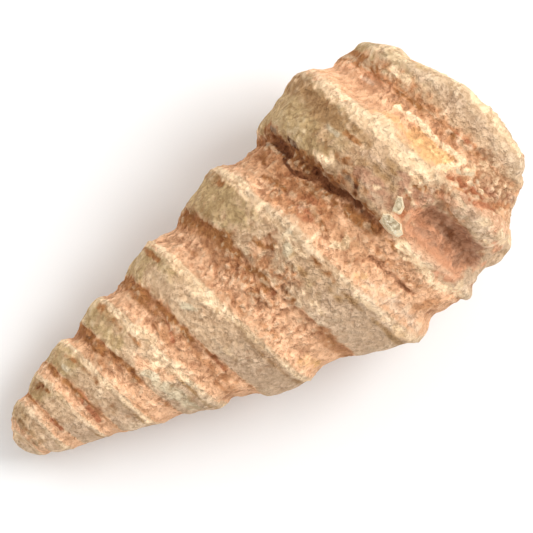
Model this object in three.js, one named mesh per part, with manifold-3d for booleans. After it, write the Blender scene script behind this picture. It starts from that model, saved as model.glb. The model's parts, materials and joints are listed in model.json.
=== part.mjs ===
// Fossil turret snail: the stone filling of a tall, right-handed sea snail shell, freed of its shell.
//
// The spire is one winding ribbon. It climbs round the coil axis, and every whorl is the same factor
// larger than the one before. Across the ribbon come a sharp keel, a hollow groove, the steep wall of
// the next whorl and a raised band that rises gently to the next keel. The tip and the base are worn
// round. The fossil lies on its side on Z = 0, tip towards -X, with small flats worn on the keels below.

import * as THREE from 'three';
import { ImprovedNoise } from 'three/addons/math/ImprovedNoise.js';
import { mergeVertices } from 'three/addons/utils/BufferGeometryUtils.js';
import Module from 'manifold-3d';

// ---- Driving dimensions, in millimetres, turns and degrees ----

const wornOffTip = 10.4; // from the point where the spire would close to the worn tip
const whorlGrowth = 1.3186; // each whorl is this many times as large as the one before
const firstKeelTurn = 0.995; // turns of coil before the first keel passes the upper flank

const tipRadius = 3.7; // the keel line's radius from the axis at the tip
const tipFlare = 0.349; // how fast the keel line widens there, mm per mm
const flareLoss = 0.00108; // how much the widening slows along the spire, per mm
const widestRadius = 20.3; // the keel line widens no further than this
const baseWear = 0.07; // and is worn down by this share towards the base
const baseWearStart = 62;
const baseWearEnd = 72;
const flattening = 0.9; // front-to-back depth of the section over its width

const tipRounding = 3.2; // length of the rounded tip
const baseRounding = 2.6; // radius of the worn edge round the base
const baseRimLevel = 70.8; // the base's edge, along the axis, away from the lip
const lipReach = 8.9; // the broken lip of the last whorl stands this far past that edge
const lipAngle = 100; // where the lip stands furthest
const lipSpread = { rising: 62, falling: 46 }; // how wide it spreads to each side of that
const basePoleLevel = 75.4; // middle of the base, along the axis

const axisBow = 1.1; // the axis sags this far sideways in the middle of the spire
const axisBowCentre = 40;
const axisBowSpread = 15;
const tipTurn = 0.75; // and the tip is turned this far to the other side
const tipTurnSpread = 13;
const keelSlant = 0.0545; // the whorls lean over by this much, mm along per mm across

const axisRise = 12.4; // the axis rises from tip to base by this angle, as the fossil lies
const restFlatDepth = 0.9; // what is worn off the lowest keels

const columnCount = 60; // steps round the coil
const whorlCount = 8;

// ---- The ribbon's section, from one keel to the next ----
// phase: share of the way to the next keel; upper and lower: radius on the upper and the lower flank,
// as a share of the keel's.

const bandEdge = 0.58; // where the band's lower edge lies
const section = [
  { phase: 0.0, upper: 1.0, lower: 1.0 }, // keel
  { phase: 0.06, upper: 0.968, lower: 0.975 },
  { phase: 0.16, upper: 0.9, lower: 0.92 },
  { phase: 0.29, upper: 0.87, lower: 0.897 }, // groove floor
  { phase: 0.42, upper: 0.868, lower: 0.892 },
  { phase: 0.5, upper: 0.885, lower: 0.902 }, // foot of the next wall
  { phase: bandEdge, upper: 0.945, lower: 0.925 },
  { phase: 0.74, upper: 0.957, lower: 0.95 },
  { phase: 0.91, upper: 0.978, lower: 0.985 },
];
const sutureSqueeze = 0.4; // the last groove is narrower by this share
const squeezeStart = 6.88; // turns of coil at which it begins to narrow
const squeezeEnd = 7.38;
const shallowTip = 0.5; // grooves at the tip are this share as deep as on the large whorls
const fullDepthLevel = 45;

// ---- Lumps, pits and ridges of the worn surface ----
// along: mm from the tip; around: degrees, 0 upper flank, 90 front, 180 lower flank, 270 back;
// long and wide: half sizes in mm along and round; lean: mm along per mm round.

const marks = [
  { name: 'spalled hollow', along: 63.7, around: 126, long: 2.2, wide: 7.5, high: -3, lean: 0.12 },
  { name: 'knob past it', along: 69.3, around: 124, long: 2.5, wide: 6, high: 2.1, lean: 0.1 },
  { name: 'ridge before it', along: 59.8, around: 130, long: 1.2, wide: 7, high: 0.9, lean: 0.3 },
  { name: 'rib in last groove', along: 71, around: 84, long: 0.9, wide: 5.5, high: 0.9, lean: 0.22 },
  { name: 'last suture', along: 71.6, around: 62, long: 1.2, wide: 13, high: -0.6, lean: 0.24 },
  { name: 'last band', along: 75, around: 62, long: 2, wide: 12, high: 0.6, lean: 0.24 },
  { name: 'deep recess', along: 54.3, around: 66, long: 2, wide: 9, high: -1.2, lean: 0.2 },
  { name: 'crust in recess', along: 52, around: 58, long: 1.2, wide: 3, high: 0.7, lean: 0.2 },
  { name: 'furrow below', along: 54.4, around: 122, long: 0.9, wide: 7, high: -0.6, lean: 0.3 },
  { name: 'notch in the keel', along: 43.8, around: 77, long: 1.4, wide: 2.2, high: -0.8, lean: 0.2 },
  { name: 'crust on band foot', along: 38.6, around: 92, long: 4.5, wide: 3.4, high: 0.7, lean: 0.3 },
  { name: 'flaked groove', along: 49.5, around: 104, long: 2, wide: 4, high: -0.5, lean: 0.2 },
  { name: 'chip in last keel', along: 66.5, around: 101, long: 1.6, wide: 3, high: -0.9, lean: 0.2 },
  { name: 'full shoulder', along: 72, around: 8, long: 4, wide: 8, high: 1.5, lean: 0 },
  { name: 'worn lower corner', along: 72.8, around: 176, long: 4.8, wide: 11, high: -3.6, lean: 0.1 },
  { name: 'end of hollow', along: 66, around: 182, long: 2.3, wide: 6, high: -1, lean: 0.1 },
  { name: 'low band on top', along: 52.4, around: 4, long: 2.6, wide: 7, high: -0.8, lean: 0.2 },
  { name: 'lump on the upper band', along: 30.5, around: 62, long: 1.8, wide: 3, high: 0.4, lean: 0 },
  { name: 'dent low down', along: 24.5, around: 118, long: 2, wide: 3, high: -0.4, lean: 0.2 },
  { name: 'pit at the tip', along: 6.4, around: 46, long: 0.9, wide: 1, high: -0.5, lean: 0 },
  { name: 'full lower side', along: 33, around: 180, long: 5, wide: 6, high: 0.5, lean: 0 },
  { name: 'dent on the back', along: 47, around: 250, long: 5, wide: 5, high: -0.7, lean: 0.2 },
  { name: 'lump on the back', along: 35, around: 292, long: 4, wide: 4, high: 0.6, lean: 0.2 },
  { name: 'spall on the back', along: 62, around: 225, long: 4, wide: 6, high: -1.1, lean: 0.2 },
  { name: 'knob on the back', along: 70, around: 300, long: 3, wide: 6, high: 0.9, lean: 0.1 },
];

// ---- Small pieces grown into the surface ----
// size: half sizes along, round and out of the surface; sink: how far the middle lies below it.

const crystals = [
  { along: 59.2, around: 102.5, size: [1.0, 1.6, 1.1], turn: 20, sink: 0.35 },
  { along: 61.3, around: 97, size: [1.2, 0.9, 0.9], turn: 55, sink: 0.3 },
];
const crustLumps = [
  { along: 52.7, around: 36, size: [1.3, 1.9, 1.0], turn: 10, sink: 0.5 },
  { along: 54.2, around: 52, size: [1.1, 1.6, 1.0], turn: 70, sink: 0.5 },
  { along: 55.6, around: 68, size: [1.1, 1.5, 0.9], turn: 40, sink: 0.45 },
  { along: 56.9, around: 84, size: [1.2, 1.3, 0.9], turn: 15, sink: 0.45 },
  { along: 37.4, around: 84, size: [1.5, 1.8, 0.9], turn: 30, sink: 0.5 },
  { along: 39.8, around: 94, size: [1.6, 1.4, 0.9], turn: 80, sink: 0.5 },
  { along: 70.4, around: 108, size: [1.7, 1.3, 1.0], turn: 30, sink: 0.5 },
  { along: 67.6, around: 113, size: [1.2, 1.5, 0.9], turn: 60, sink: 0.45 },
];

// ---- Unevenness: size of the swells and how far they stand up or sink in ----

const swells = [
  { size: 9, high: 0.64 },
  { size: 4, high: 0.52 },
  { size: 2.2, high: 0.24 },
];
const smallWhorlRadius = 8; // the swells grow with the whorls up to this radius
const keelWander = { size: 7, along: 0.7 }; // the keels wander along the axis by less than this

const noise = new ImprovedNoise();
const radians = (degrees) => THREE.MathUtils.degToRad(degrees);

// Distance along the axis after so many turns of coil, and the turns at a distance.
const levelAt = (turns) => wornOffTip * (whorlGrowth ** turns - 1);
const turnsAt = (level) => Math.log(level / wornOffTip + 1) / Math.log(whorlGrowth);

// How far from the axis the keel line runs.
function keelRadius(level) {
  const widening = tipRadius + tipFlare * level - flareLoss * level ** 2;
  const worn = 1 - baseWear * THREE.MathUtils.smoothstep(level, baseWearStart, baseWearEnd);
  return Math.min(widening, widestRadius) * worn;
}

// Signed difference of two angles, in degrees, from -180 to 180.
function angleBetween(angle, other) {
  return THREE.MathUtils.euclideanModulo(angle - other + 180, 360) - 180;
}

// Where the base's edge lies along the axis, round the coil.
function rimLevel(around) {
  const offset = angleBetween(around, lipAngle);
  const spread = offset < 0 ? lipSpread.rising : lipSpread.falling;
  return baseRimLevel + lipReach * Math.exp(-((offset / spread) ** 2));
}

// How much of the lower flank's section holds at this angle: all at 190 degrees, none from the front.
function lowerFlankShare(around) {
  return Math.max(0, Math.cos(radians(around - 190))) ** 1.5;
}

// The radius from the axis of one point of the ribbon's section.
function sectionRadius(knot, level, around) {
  const share = THREE.MathUtils.lerp(knot.upper, knot.lower, lowerFlankShare(around));
  const depth = THREE.MathUtils.lerp(shallowTip, 1, THREE.MathUtils.smoothstep(level, 0, fullDepthLevel));
  return keelRadius(level) * (1 - (1 - share) * depth);
}

// The share of its full radius that the rounded tip has reached.
function tipRoundness(level) {
  const along = Math.min(1, level / tipRounding);
  return Math.sqrt(1 - (1 - along) ** 2);
}

// The keels wander a little along the axis, but not at the tip or where they run out at the base.
function keelWanderAt(level, around, radius, lastLevel) {
  const place = coilPoint(level, around, radius).divideScalar(keelWander.size);
  const calm = THREE.MathUtils.smoothstep(level, 4, 20) * THREE.MathUtils.smoothstep(lastLevel - level, 0, 3);
  return keelWander.along * calm * noise.noise(place.y, place.z, place.x);
}

// The same radius at any place: between the two section knots on each side of it.
function smoothRadius(level, around) {
  const turns = turnsAt(level) - firstKeelTurn - around / 360;
  const squeeze = squeezeAt(turnsAt(level));
  const phase = THREE.MathUtils.euclideanModulo(turns, 1);
  const knots = section.map((knot) => ({ ...knot, phase: squeezedPhase(knot.phase, squeeze) }));
  knots.push({ ...section[0], phase: 1 });
  const above = knots.findIndex((knot) => knot.phase > phase);
  const from = knots[above - 1];
  const to = knots[above];
  const share = (phase - from.phase) / (to.phase - from.phase);
  const low = sectionRadius(from, level, around);
  return THREE.MathUtils.lerp(low, sectionRadius(to, level, around), share);
}

function squeezeAt(turns) {
  return sutureSqueeze * THREE.MathUtils.smoothstep(turns, squeezeStart, squeezeEnd);
}

// The groove's share of the section shrinks, and the band takes up what it gives.
function squeezedPhase(phase, squeeze) {
  if (phase <= bandEdge) return phase * (1 - squeeze);
  return 1 - ((1 - phase) * (1 - bandEdge * (1 - squeeze))) / (1 - bandEdge);
}

// Turns a place on the coil into a point: the section is flattened, the axis bowed, the whorls slanted.
function coilPoint(level, around, radius) {
  const angle = radians(around);
  const across = radius * Math.cos(angle);
  const out = radius * Math.sin(angle) * flattening;
  const bow = axisBow * Math.exp(-(((level - axisBowCentre) / axisBowSpread) ** 2));
  const turned = tipTurn * Math.exp(-((level / tipTurnSpread) ** 2));
  return new THREE.Vector3(level - keelSlant * across, across - bow + turned, out);
}

// How far the marks and the swells lift the surface, in millimetres.
function relief(level, around, radius) {
  let lift = 0;
  for (const mark of marks) {
    const round = radians(angleBetween(around, mark.around)) * radius;
    const along = level - mark.along - mark.lean * round;
    lift += mark.high * Math.exp(-((along / mark.long) ** 2) - (round / mark.wide) ** 2);
  }
  const point = coilPoint(level, around, radius);
  const calm = Math.min(1, radius / smallWhorlRadius);
  for (const swell of swells) {
    const place = point.clone().divideScalar(swell.size);
    lift += swell.high * calm * noise.noise(place.x, place.y, place.z);
  }
  return lift;
}

// One finished point of the surface.
function surfacePoint(level, around, radius) {
  return coilPoint(level, around, radius + relief(level, around, radius));
}

// ---- Columns of points from tip to base, one for each step round the coil ----
// A point's row says which winding line it lies on, so that the columns can be laced together.

const tipRows = [0.05, 0.18, 0.4]; // rings of the rounded tip, as shares of its length
const tipGap = 0.45; // from the last of them to the first winding row, along the axis
const rimRows = [0.12, 0.4, 0.7, 1]; // rings of the worn edge, as shares of its quarter turn
const rimGap = 0.5;
const baseRows = [0.82, 0.6, 0.38, 0.18]; // rings of the base, as shares of its radius
const baseDoming = 1.6; // above 1, the base is flat in the middle and turns up towards the edge
const tipRingNumber = -1000; // row numbers that no winding row has
const rimRingNumber = 1000;
const baseRingNumber = 1100;

function column(around) {
  const points = [];
  for (const [index, share] of tipRows.entries()) {
    const level = share * tipRounding;
    const radius = keelRadius(level) * tipRoundness(level);
    points.push({ row: tipRingNumber + index, point: surfacePoint(level, around, radius) });
  }

  const firstLevel = tipRows.at(-1) * tipRounding + tipGap;
  const rim = rimLevel(around);
  const lastLevel = rim - baseRounding - rimGap;
  for (let whorl = -2; whorl < whorlCount; whorl++) {
    for (const [index, knot] of section.entries()) {
      const keelTurns = whorl + firstKeelTurn + around / 360;
      const phase = squeezedPhase(knot.phase, squeezeAt(keelTurns + knot.phase));
      const level = levelAt(keelTurns + phase);
      if (level < firstLevel || level > lastLevel) continue;
      const radius = sectionRadius(knot, level, around) * tipRoundness(level);
      const wandered = level + keelWanderAt(level, around, radius, lastLevel);
      const row = whorl * section.length + index;
      points.push({ row, point: surfacePoint(wandered, around, radius) });
    }
  }

  const shoulder = smoothRadius(rim - baseRounding, around);
  for (const [index, share] of rimRows.entries()) {
    const bend = (share * Math.PI) / 2;
    const level = rim - baseRounding * (1 - Math.sin(bend));
    const radius = shoulder - baseRounding * (1 - Math.cos(bend));
    points.push({ row: rimRingNumber + index, point: surfacePoint(level, around, radius) });
  }
  const faceRadius = shoulder - baseRounding;
  for (const [index, share] of baseRows.entries()) {
    const level = THREE.MathUtils.lerp(basePoleLevel, rim, share ** baseDoming);
    points.push({ row: baseRingNumber + index, point: surfacePoint(level, around, faceRadius * share) });
  }
  return points;
}

// Laces two neighbouring columns: where both have the next row a quad fills the gap, else a triangle.
function lace(left, right, rowShift, addTriangle) {
  let l = 0;
  let r = 0;
  while (l < left.length - 1 || r < right.length - 1) {
    const leftRow = l + 1 < left.length ? left[l + 1].row : Infinity;
    const rightRow = r + 1 < right.length ? shiftRow(right[r + 1].row, rowShift) : Infinity;
    if (leftRow <= rightRow) {
      addTriangle(left[l].index, right[r].index, left[l + 1].index);
      l += 1;
    }
    if (rightRow <= leftRow) {
      addTriangle(left[l].index, right[r].index, right[r + 1].index);
      r += 1;
    }
  }
}

// Only the winding rows move up one whorl at the seam; the rings at tip and base close on themselves.
function shiftRow(row, rowShift) {
  return Math.abs(row) < 900 ? row + rowShift : row;
}

function mouldGeometry() {
  const positions = [];
  const indices = [];
  const addVertex = (point) => positions.push(point.x, point.y, point.z) / 3 - 1;
  const addTriangle = (a, b, c) => indices.push(a, b, c);

  const tip = addVertex(coilPoint(0, 0, 0));
  const columns = [];
  for (let step = 0; step < columnCount; step++) {
    const points = column((step * 360) / columnCount);
    for (const entry of points) entry.index = addVertex(entry.point);
    columns.push(points);
  }
  const pole = addVertex(coilPoint(basePoleLevel, 0, 0));

  for (const [step, left] of columns.entries()) {
    const last = step === columnCount - 1;
    const right = columns[(step + 1) % columnCount];
    lace(left, right, last ? -section.length : 0, addTriangle);
    addTriangle(tip, right[0].index, left[0].index);
    addTriangle(pole, left.at(-1).index, right.at(-1).index);
  }

  const geometry = new THREE.BufferGeometry();
  geometry.setAttribute('position', new THREE.Float32BufferAttribute(positions, 3));
  geometry.setIndex(indices);
  return geometry;
}

// A blunt crystal or crust lump, seated in the surface with its third size pointing out of it.
function seatedLump(lump, geometry) {
  const radius = smoothRadius(lump.along, lump.around);
  const middle = surfacePoint(lump.along, lump.around, radius - lump.sink);
  const angle = radians(lump.around);
  const out = new THREE.Vector3(0, Math.cos(angle), Math.sin(angle) / flattening).normalize();
  const along = new THREE.Vector3(1, 0, 0);
  const round = new THREE.Vector3().crossVectors(out, along);
  geometry.rotateZ(radians(lump.turn));
  geometry.scale(...lump.size);
  geometry.applyMatrix4(new THREE.Matrix4().makeBasis(along, round, out));
  geometry.translate(middle.x, middle.y, middle.z);
  return geometry;
}

// ---- Joining and cutting ----

const wasm = await Module();
wasm.setup();

function toSolid(geometry) {
  geometry.deleteAttribute('normal');
  geometry.deleteAttribute('uv');
  const merged = mergeVertices(geometry);
  const mesh = new wasm.Mesh({
    numProp: 3,
    vertProperties: new Float32Array(merged.attributes.position.array),
    triVerts: new Uint32Array(merged.index.array),
  });
  return new wasm.Manifold(mesh);
}

function toGeometry(solid) {
  const mesh = solid.getMesh();
  const geometry = new THREE.BufferGeometry();
  geometry.setAttribute('position', new THREE.BufferAttribute(mesh.vertProperties, 3));
  geometry.setIndex(new THREE.BufferAttribute(mesh.triVerts, 1));
  return geometry;
}

// Lays the fossil on its side, so that the floor comes to Z = 0 with the lowest keels cut flat on it.
function layOnFloor(geometry) {
  geometry.rotateY(-radians(axisRise));
  geometry.computeBoundingBox();
  geometry.translate(0, 0, -geometry.boundingBox.min.z - restFlatDepth);
}

let body = mouldGeometry();
let solid = toSolid(body);
for (const crystal of crystals) {
  solid = solid.add(toSolid(seatedLump(crystal, new THREE.DodecahedronGeometry(1))));
}
for (const lump of crustLumps) {
  solid = solid.add(toSolid(seatedLump(lump, new THREE.IcosahedronGeometry(1))));
}
body = toGeometry(solid);
layOnFloor(body);

const floorSize = 300;
const floor = new THREE.BoxGeometry(floorSize, floorSize, floorSize);
floor.translate(0, 0, -floorSize / 2);
body = toGeometry(toSolid(body).subtract(toSolid(floor)));
body.computeBoundingBox();
const middle = body.boundingBox.getCenter(new THREE.Vector3());
body.translate(-middle.x, -middle.y, 0);

// ---- The object ----

const limestone = new THREE.MeshStandardMaterial({ color: 0xcfa37f, roughness: 0.88, metalness: 0 });
const fossil = new THREE.Mesh(body, limestone);
fossil.name = 'fossil_snail';

const object = new THREE.Group();
object.add(fossil);

export default object;
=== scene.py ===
# %% [markdown]
# # A fossil turret snail, step by step
#
# The object is one piece of stone: sediment filled a tall, right-handed snail shell, turned to limestone,
# and the shell itself dissolved. What is left is a winding ribbon of stone with a sharp keel, a hollow
# groove, a steep wall and a smoother band, over and over, each whorl about a third larger than the last.
#
# The CAD model already has that form at its real size. This script gives it its skin: the finer carving,
# the sandy grain, the salmon, khaki, grey and cream of the stone, and two small calcite crystals.
# Nothing here moves the CAD model. The stone is worked on a copy of it.

# %% Load the CAD frame
import json
import math

import bpy
import numpy as np
from mathutils import Matrix, Vector, noise

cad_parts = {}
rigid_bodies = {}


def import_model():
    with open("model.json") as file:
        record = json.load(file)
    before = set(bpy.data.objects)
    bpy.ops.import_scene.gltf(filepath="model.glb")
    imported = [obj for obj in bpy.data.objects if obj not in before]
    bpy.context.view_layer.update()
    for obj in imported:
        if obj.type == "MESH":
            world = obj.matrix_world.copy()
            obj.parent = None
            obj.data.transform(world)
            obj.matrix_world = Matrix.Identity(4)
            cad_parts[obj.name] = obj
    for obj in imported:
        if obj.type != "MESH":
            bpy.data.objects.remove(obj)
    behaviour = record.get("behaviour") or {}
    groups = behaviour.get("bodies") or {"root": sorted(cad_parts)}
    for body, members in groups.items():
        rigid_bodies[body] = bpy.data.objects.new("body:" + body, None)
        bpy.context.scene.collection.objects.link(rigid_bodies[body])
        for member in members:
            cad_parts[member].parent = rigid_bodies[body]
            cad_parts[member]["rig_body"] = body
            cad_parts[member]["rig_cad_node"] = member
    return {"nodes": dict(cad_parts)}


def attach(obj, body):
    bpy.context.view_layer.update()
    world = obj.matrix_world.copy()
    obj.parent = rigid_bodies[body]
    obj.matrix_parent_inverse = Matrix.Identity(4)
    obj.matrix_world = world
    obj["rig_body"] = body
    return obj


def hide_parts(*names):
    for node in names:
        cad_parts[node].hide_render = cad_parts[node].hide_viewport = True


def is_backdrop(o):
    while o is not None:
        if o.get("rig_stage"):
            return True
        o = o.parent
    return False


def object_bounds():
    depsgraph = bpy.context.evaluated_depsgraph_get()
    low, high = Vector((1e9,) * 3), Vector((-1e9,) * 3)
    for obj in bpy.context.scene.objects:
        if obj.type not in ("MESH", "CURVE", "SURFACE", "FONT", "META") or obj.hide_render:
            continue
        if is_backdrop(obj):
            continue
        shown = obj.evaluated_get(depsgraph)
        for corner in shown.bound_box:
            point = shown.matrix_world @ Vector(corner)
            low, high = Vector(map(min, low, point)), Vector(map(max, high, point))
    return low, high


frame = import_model()
cad_box = [list(corner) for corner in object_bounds()]
cad_stone = frame["nodes"]["fossil_snail"]
MM = 0.001
print("CAD box in mm:", [[round(value / MM, 1) for value in corner] for corner in cad_box])

# %% [markdown]
# ## Where things are on the coil
#
# On a spiral it is awkward to say where a mark is with x, y and z. It is easier to say how far along the
# coil axis it is from the tip, and at what angle round the axis: 0 degrees on the upper flank, 90 on the
# front, 180 on the lower flank and 270 on the back. The fossil lies on its side with its axis rising
# towards the base, so three directions are needed: along the axis, across it, and out towards the front.

# %% The three directions of the coil, and its tip
AXIS_RISE = math.radians(12.4)
ALONG = Vector((math.cos(AXIS_RISE), 0, math.sin(AXIS_RISE)))
ACROSS = Vector((0, 1, 0))
OUT = ALONG.cross(ACROSS)
cad_points = np.array([vertex.co for vertex in cad_stone.data.vertices])
tip = Vector(cad_points[np.argmin(cad_points @ np.array(ALONG))])
print("worn tip at", [round(value / MM, 1) for value in tip], "mm")


def coil_to_world(along, across, out):
    """The point so many millimetres along, across and out from the tip."""
    return tip + (ALONG * along + ACROSS * across + OUT * out) * MM


# %% [markdown]
# ## The camera
#
# The camera looks straight down on the front of the fossil, square to the coil axis, and it is rolled so
# that the axis climbs from the lower left to the upper right. A long lens keeps the whorls in proportion,
# as they look from a little distance. The camera comes first, because every later choice is judged
# through it.

# %% Place the camera
AXIS_TILT_IN_VIEW = math.radians(35)
VIEW_CENTRE = (41.95, -0.27)  # along and across, mm
VIEW_WIDTH = 73.8  # width of the view at the coil axis, mm
CAMERA_DISTANCE = 450.0  # mm
SENSOR = 36.0

view_right = ALONG * math.cos(AXIS_TILT_IN_VIEW) - ACROSS * math.sin(AXIS_TILT_IN_VIEW)
view_up = ALONG * math.sin(AXIS_TILT_IN_VIEW) + ACROSS * math.cos(AXIS_TILT_IN_VIEW)
view_target = coil_to_world(*VIEW_CENTRE, 0)

camera_data = bpy.data.cameras.new("camera")
camera_data.sensor_width = SENSOR
camera_data.lens = SENSOR * CAMERA_DISTANCE / VIEW_WIDTH
camera_data.clip_start = 0.01
camera = bpy.data.objects.new("camera", camera_data)
bpy.context.scene.collection.objects.link(camera)
camera.location = view_target + OUT * CAMERA_DISTANCE * MM


def facing(right, up, back):
    """The rotation whose local X, Y and Z point along these three directions."""
    return Matrix((right, up, back)).transposed().to_euler()


camera.rotation_euler = facing(view_right, view_up, OUT)
bpy.context.scene.camera = camera
print(f"camera lens {camera_data.lens:.0f} mm, {CAMERA_DISTANCE:.0f} mm from the axis")

# %% [markdown]
# ## Floor and light
#
# The stone lies on a plain pale surface under soft studio light. One large soft lamp stands to the right
# of the view, so that the slopes just past each keel are bright and the walls that face the tip fall into
# shade. A pale sky fills the rest, and a weaker, larger lamp from the upper left keeps those walls
# readable. The standard view transform shows each colour as it is mixed.

# %% Make the floor and the lamps
FLOOR_SIZE = 1.6
bpy.ops.object.select_all(action="DESELECT")
bpy.ops.mesh.primitive_plane_add(size=FLOOR_SIZE, location=(0, 0, 0))
floor = bpy.context.object
floor.name = "pale_floor"
floor_paint = bpy.data.materials.new("pale_floor")
floor_paint.use_nodes = True
floor_shader = floor_paint.node_tree.nodes["Principled BSDF"]
floor_shader.inputs["Base Color"].default_value = (0.93, 0.93, 0.93, 1)
floor_shader.inputs["Roughness"].default_value = 0.9
floor.data.materials.append(floor_paint)
floor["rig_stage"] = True


def soft_lamp(name, right, up, out, size, power):
    """A square lamp at that place in the view, in mm from its middle, aimed at the fossil."""
    lamp_data = bpy.data.lights.new(name, "AREA")
    lamp_data.size = size * MM
    lamp_data.energy = power
    lamp = bpy.data.objects.new(name, lamp_data)
    bpy.context.scene.collection.objects.link(lamp)
    lamp.location = view_target + (view_right * right + view_up * up + OUT * out) * MM
    lamp.rotation_euler = (view_target - lamp.location).to_track_quat("-Z", "Y").to_euler()
    return lamp


lamps = [
    soft_lamp("key_lamp", right=290, up=130, out=290, size=240, power=1.2),
    soft_lamp("fill_lamp", right=-230, up=230, out=300, size=300, power=0.35),
]

SKY_STRENGTH = 0.7
world = bpy.data.worlds.new("studio")
world.use_nodes = True
world.node_tree.nodes["Background"].inputs["Color"].default_value = (1.0, 0.99, 0.98, 1)
world.node_tree.nodes["Background"].inputs["Strength"].default_value = SKY_STRENGTH
bpy.context.scene.world = world
bpy.context.scene.view_settings.view_transform = "Standard"
print("lamps:", [lamp.name for lamp in lamps], "and a sky of strength", SKY_STRENGTH)

# %% [markdown]
# ## Roughing out the stone
#
# A real mould has no flat facets, and no two of its whorls are alike. The CAD solid is faceted, so a copy
# of it is made, its loose triangles are merged and paired into quads, and two levels of subdivision round
# them. A voxel remesh then covers the form with even little squares, fine enough to carve chips and lumps
# of under a millimetre. Sculptors start a stone in just this way, from a block-out.

# %% Copy the CAD solid and give it an even fine mesh
MERGE_DISTANCE = 1e-6
VOXEL = 0.327 * MM

bpy.ops.object.select_all(action="DESELECT")
cad_stone.select_set(True)
bpy.context.view_layer.objects.active = cad_stone
bpy.ops.object.duplicate()
stone = bpy.context.object
stone.name = "limestone_snail"
stone.data.name = "limestone_snail"
for key in ("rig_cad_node", "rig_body"):  # the copy isn't the CAD node itself
    if key in stone:
        del stone[key]
stone.parent = None

bpy.ops.object.mode_set(mode="EDIT")
bpy.ops.mesh.select_all(action="SELECT")
bpy.ops.mesh.remove_doubles(threshold=MERGE_DISTANCE)
bpy.ops.mesh.tris_convert_to_quads()
bpy.ops.object.mode_set(mode="OBJECT")


def apply_modifier(piece, kind, **settings):
    """Adds a modifier with these settings and applies it at once."""
    bpy.ops.object.select_all(action="DESELECT")
    piece.select_set(True)
    bpy.context.view_layer.objects.active = piece
    modifier = piece.modifiers.new(kind.lower(), kind)
    for setting, value in settings.items():
        setattr(modifier, setting, value)
    bpy.ops.object.modifier_apply(modifier=modifier.name)
    print(f"{piece.name}: {kind.lower()} gives {len(piece.data.polygons)} faces")


apply_modifier(stone, "SUBSURF", levels=2, render_levels=2)
apply_modifier(stone, "REMESH", mode="VOXEL", voxel_size=VOXEL)
apply_modifier(stone, "SMOOTH", factor=0.5, iterations=2)

# %% [markdown]
# ## Reading a place on the coil back from a point
#
# The carving and the colours both follow the whorls, so every vertex is told where it lies: how far along
# the axis, at what angle, and how far on its way from one keel to the next. That last number, the course,
# comes from the law of the coil: each whorl is the same factor larger than the one before. It is 0 on a
# keel, 0.55 at the foot of the wall, where the groove ends and the band begins, and 1 on the next keel.

# %% Work out along, around, radius and course for each vertex
WORN_OFF_TIP = 10.4  # mm from the point where the spire would close to the worn tip
WHORL_GROWTH = 1.3186
FIRST_KEEL_TURN = 0.995
FLATTENING = 0.9
KEEL_SLANT = 0.0545
AXIS_BOW = (1.1, 40, 15)  # how far, where and how wide the axis sags sideways, mm
TIP_TURN = (0.75, 13)  # how far and how long the tip is turned to the other side, mm
GROOVE_SHARE = [  # turns of coil, and the groove's share of the whorl there
    (2.6, 0.41), (3.75, 0.49), (4.75, 0.515), (5.8, 0.565), (6.65, 0.5), (6.88, 0.5), (7.38, 0.29),
]
FOOT = 0.55  # the course at the foot of the wall


def ease(value, low, high):
    """0 below low, 1 above high, and a smooth step between; the other way round when low is above high."""
    share = np.clip((value - low) / (high - low), 0, 1)
    return share * share * (3 - 2 * share)


def mesh_points(piece):
    """The vertices of a piece as an array, in metres."""
    flat = np.empty(len(piece.data.vertices) * 3)
    piece.data.vertices.foreach_get("co", flat)
    return flat.reshape(-1, 3)


def coil_place(points):
    """Along (mm), around (degrees), radius (mm) and course of each point."""
    local = (points - np.array(tip)) / MM
    rough_along = local @ np.array(ALONG)
    bow = AXIS_BOW[0] * np.exp(-(((rough_along - AXIS_BOW[1]) / AXIS_BOW[2]) ** 2))
    turned = TIP_TURN[0] * (np.exp(-((rough_along / TIP_TURN[1]) ** 2)) - 1)
    across = local @ np.array(ACROSS) + bow - turned
    out = local @ np.array(OUT) / FLATTENING
    along = rough_along + KEEL_SLANT * across
    around = np.degrees(np.arctan2(out, across)) % 360
    turns = np.log(np.maximum(along, 0) / WORN_OFF_TIP + 1) / math.log(WHORL_GROWTH)
    past_keel = (turns - FIRST_KEEL_TURN - around / 360) % 1
    foot = np.interp(turns, *np.array(GROOVE_SHARE).T)
    in_groove = past_keel / foot * FOOT
    in_band = 1 - (1 - past_keel) / (1 - foot) * (1 - FOOT)
    return along, around, np.hypot(across, out), np.where(past_keel <= foot, in_groove, in_band)


stone_points = mesh_points(stone)
along, around, radius, course = coil_place(stone_points)
print(f"{len(along)} vertices, {along.max():.0f} mm along, radius up to {radius.max():.1f} mm")

# %% [markdown]
# ## Two tools: unevenness and strokes
#
# Stone is uneven at every size, so the first tool is a field of smooth noise of a given lump size, one
# number for each vertex. The second is a stroke: a line through a few places on the coil, which is 1 on
# the line and fades to 0 beside it. A stroke can be carved, raised or painted, so one stroke serves for a
# furrow and for a stain.

# %% Define the noise fields and the stroke


def unevenness(size, seed, octaves=1):
    """Noise from -1 to 1 with lumps about this many millimetres across, and finer ones on them."""
    shift = Vector((seed * 17.3, seed * -9.1, seed * 5.7))
    scale = 1 / (size * MM)
    places = [Vector(point) * scale + shift for point in stone_points.tolist()]
    field = np.array([noise.fractal(place, 0.7, 2.1, octaves) for place in places])
    return np.clip(field / (2.2 * field.std()), -1, 1)


def crumbs(size, seed):
    """Rounded crumbs about this many millimetres apart: 1 on top of each, 0 in the creases."""
    shift = Vector((seed * 13.7, seed * 3.9, seed * -7.3))
    scale = 1 / (size * MM)
    rows = [noise.voronoi(Vector(point) * scale + shift)[0][:2] for point in stone_points.tolist()]
    nearest, second = np.array(rows).T
    return np.clip((second - nearest) * 1.6, 0, 1) ** 0.7


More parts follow.
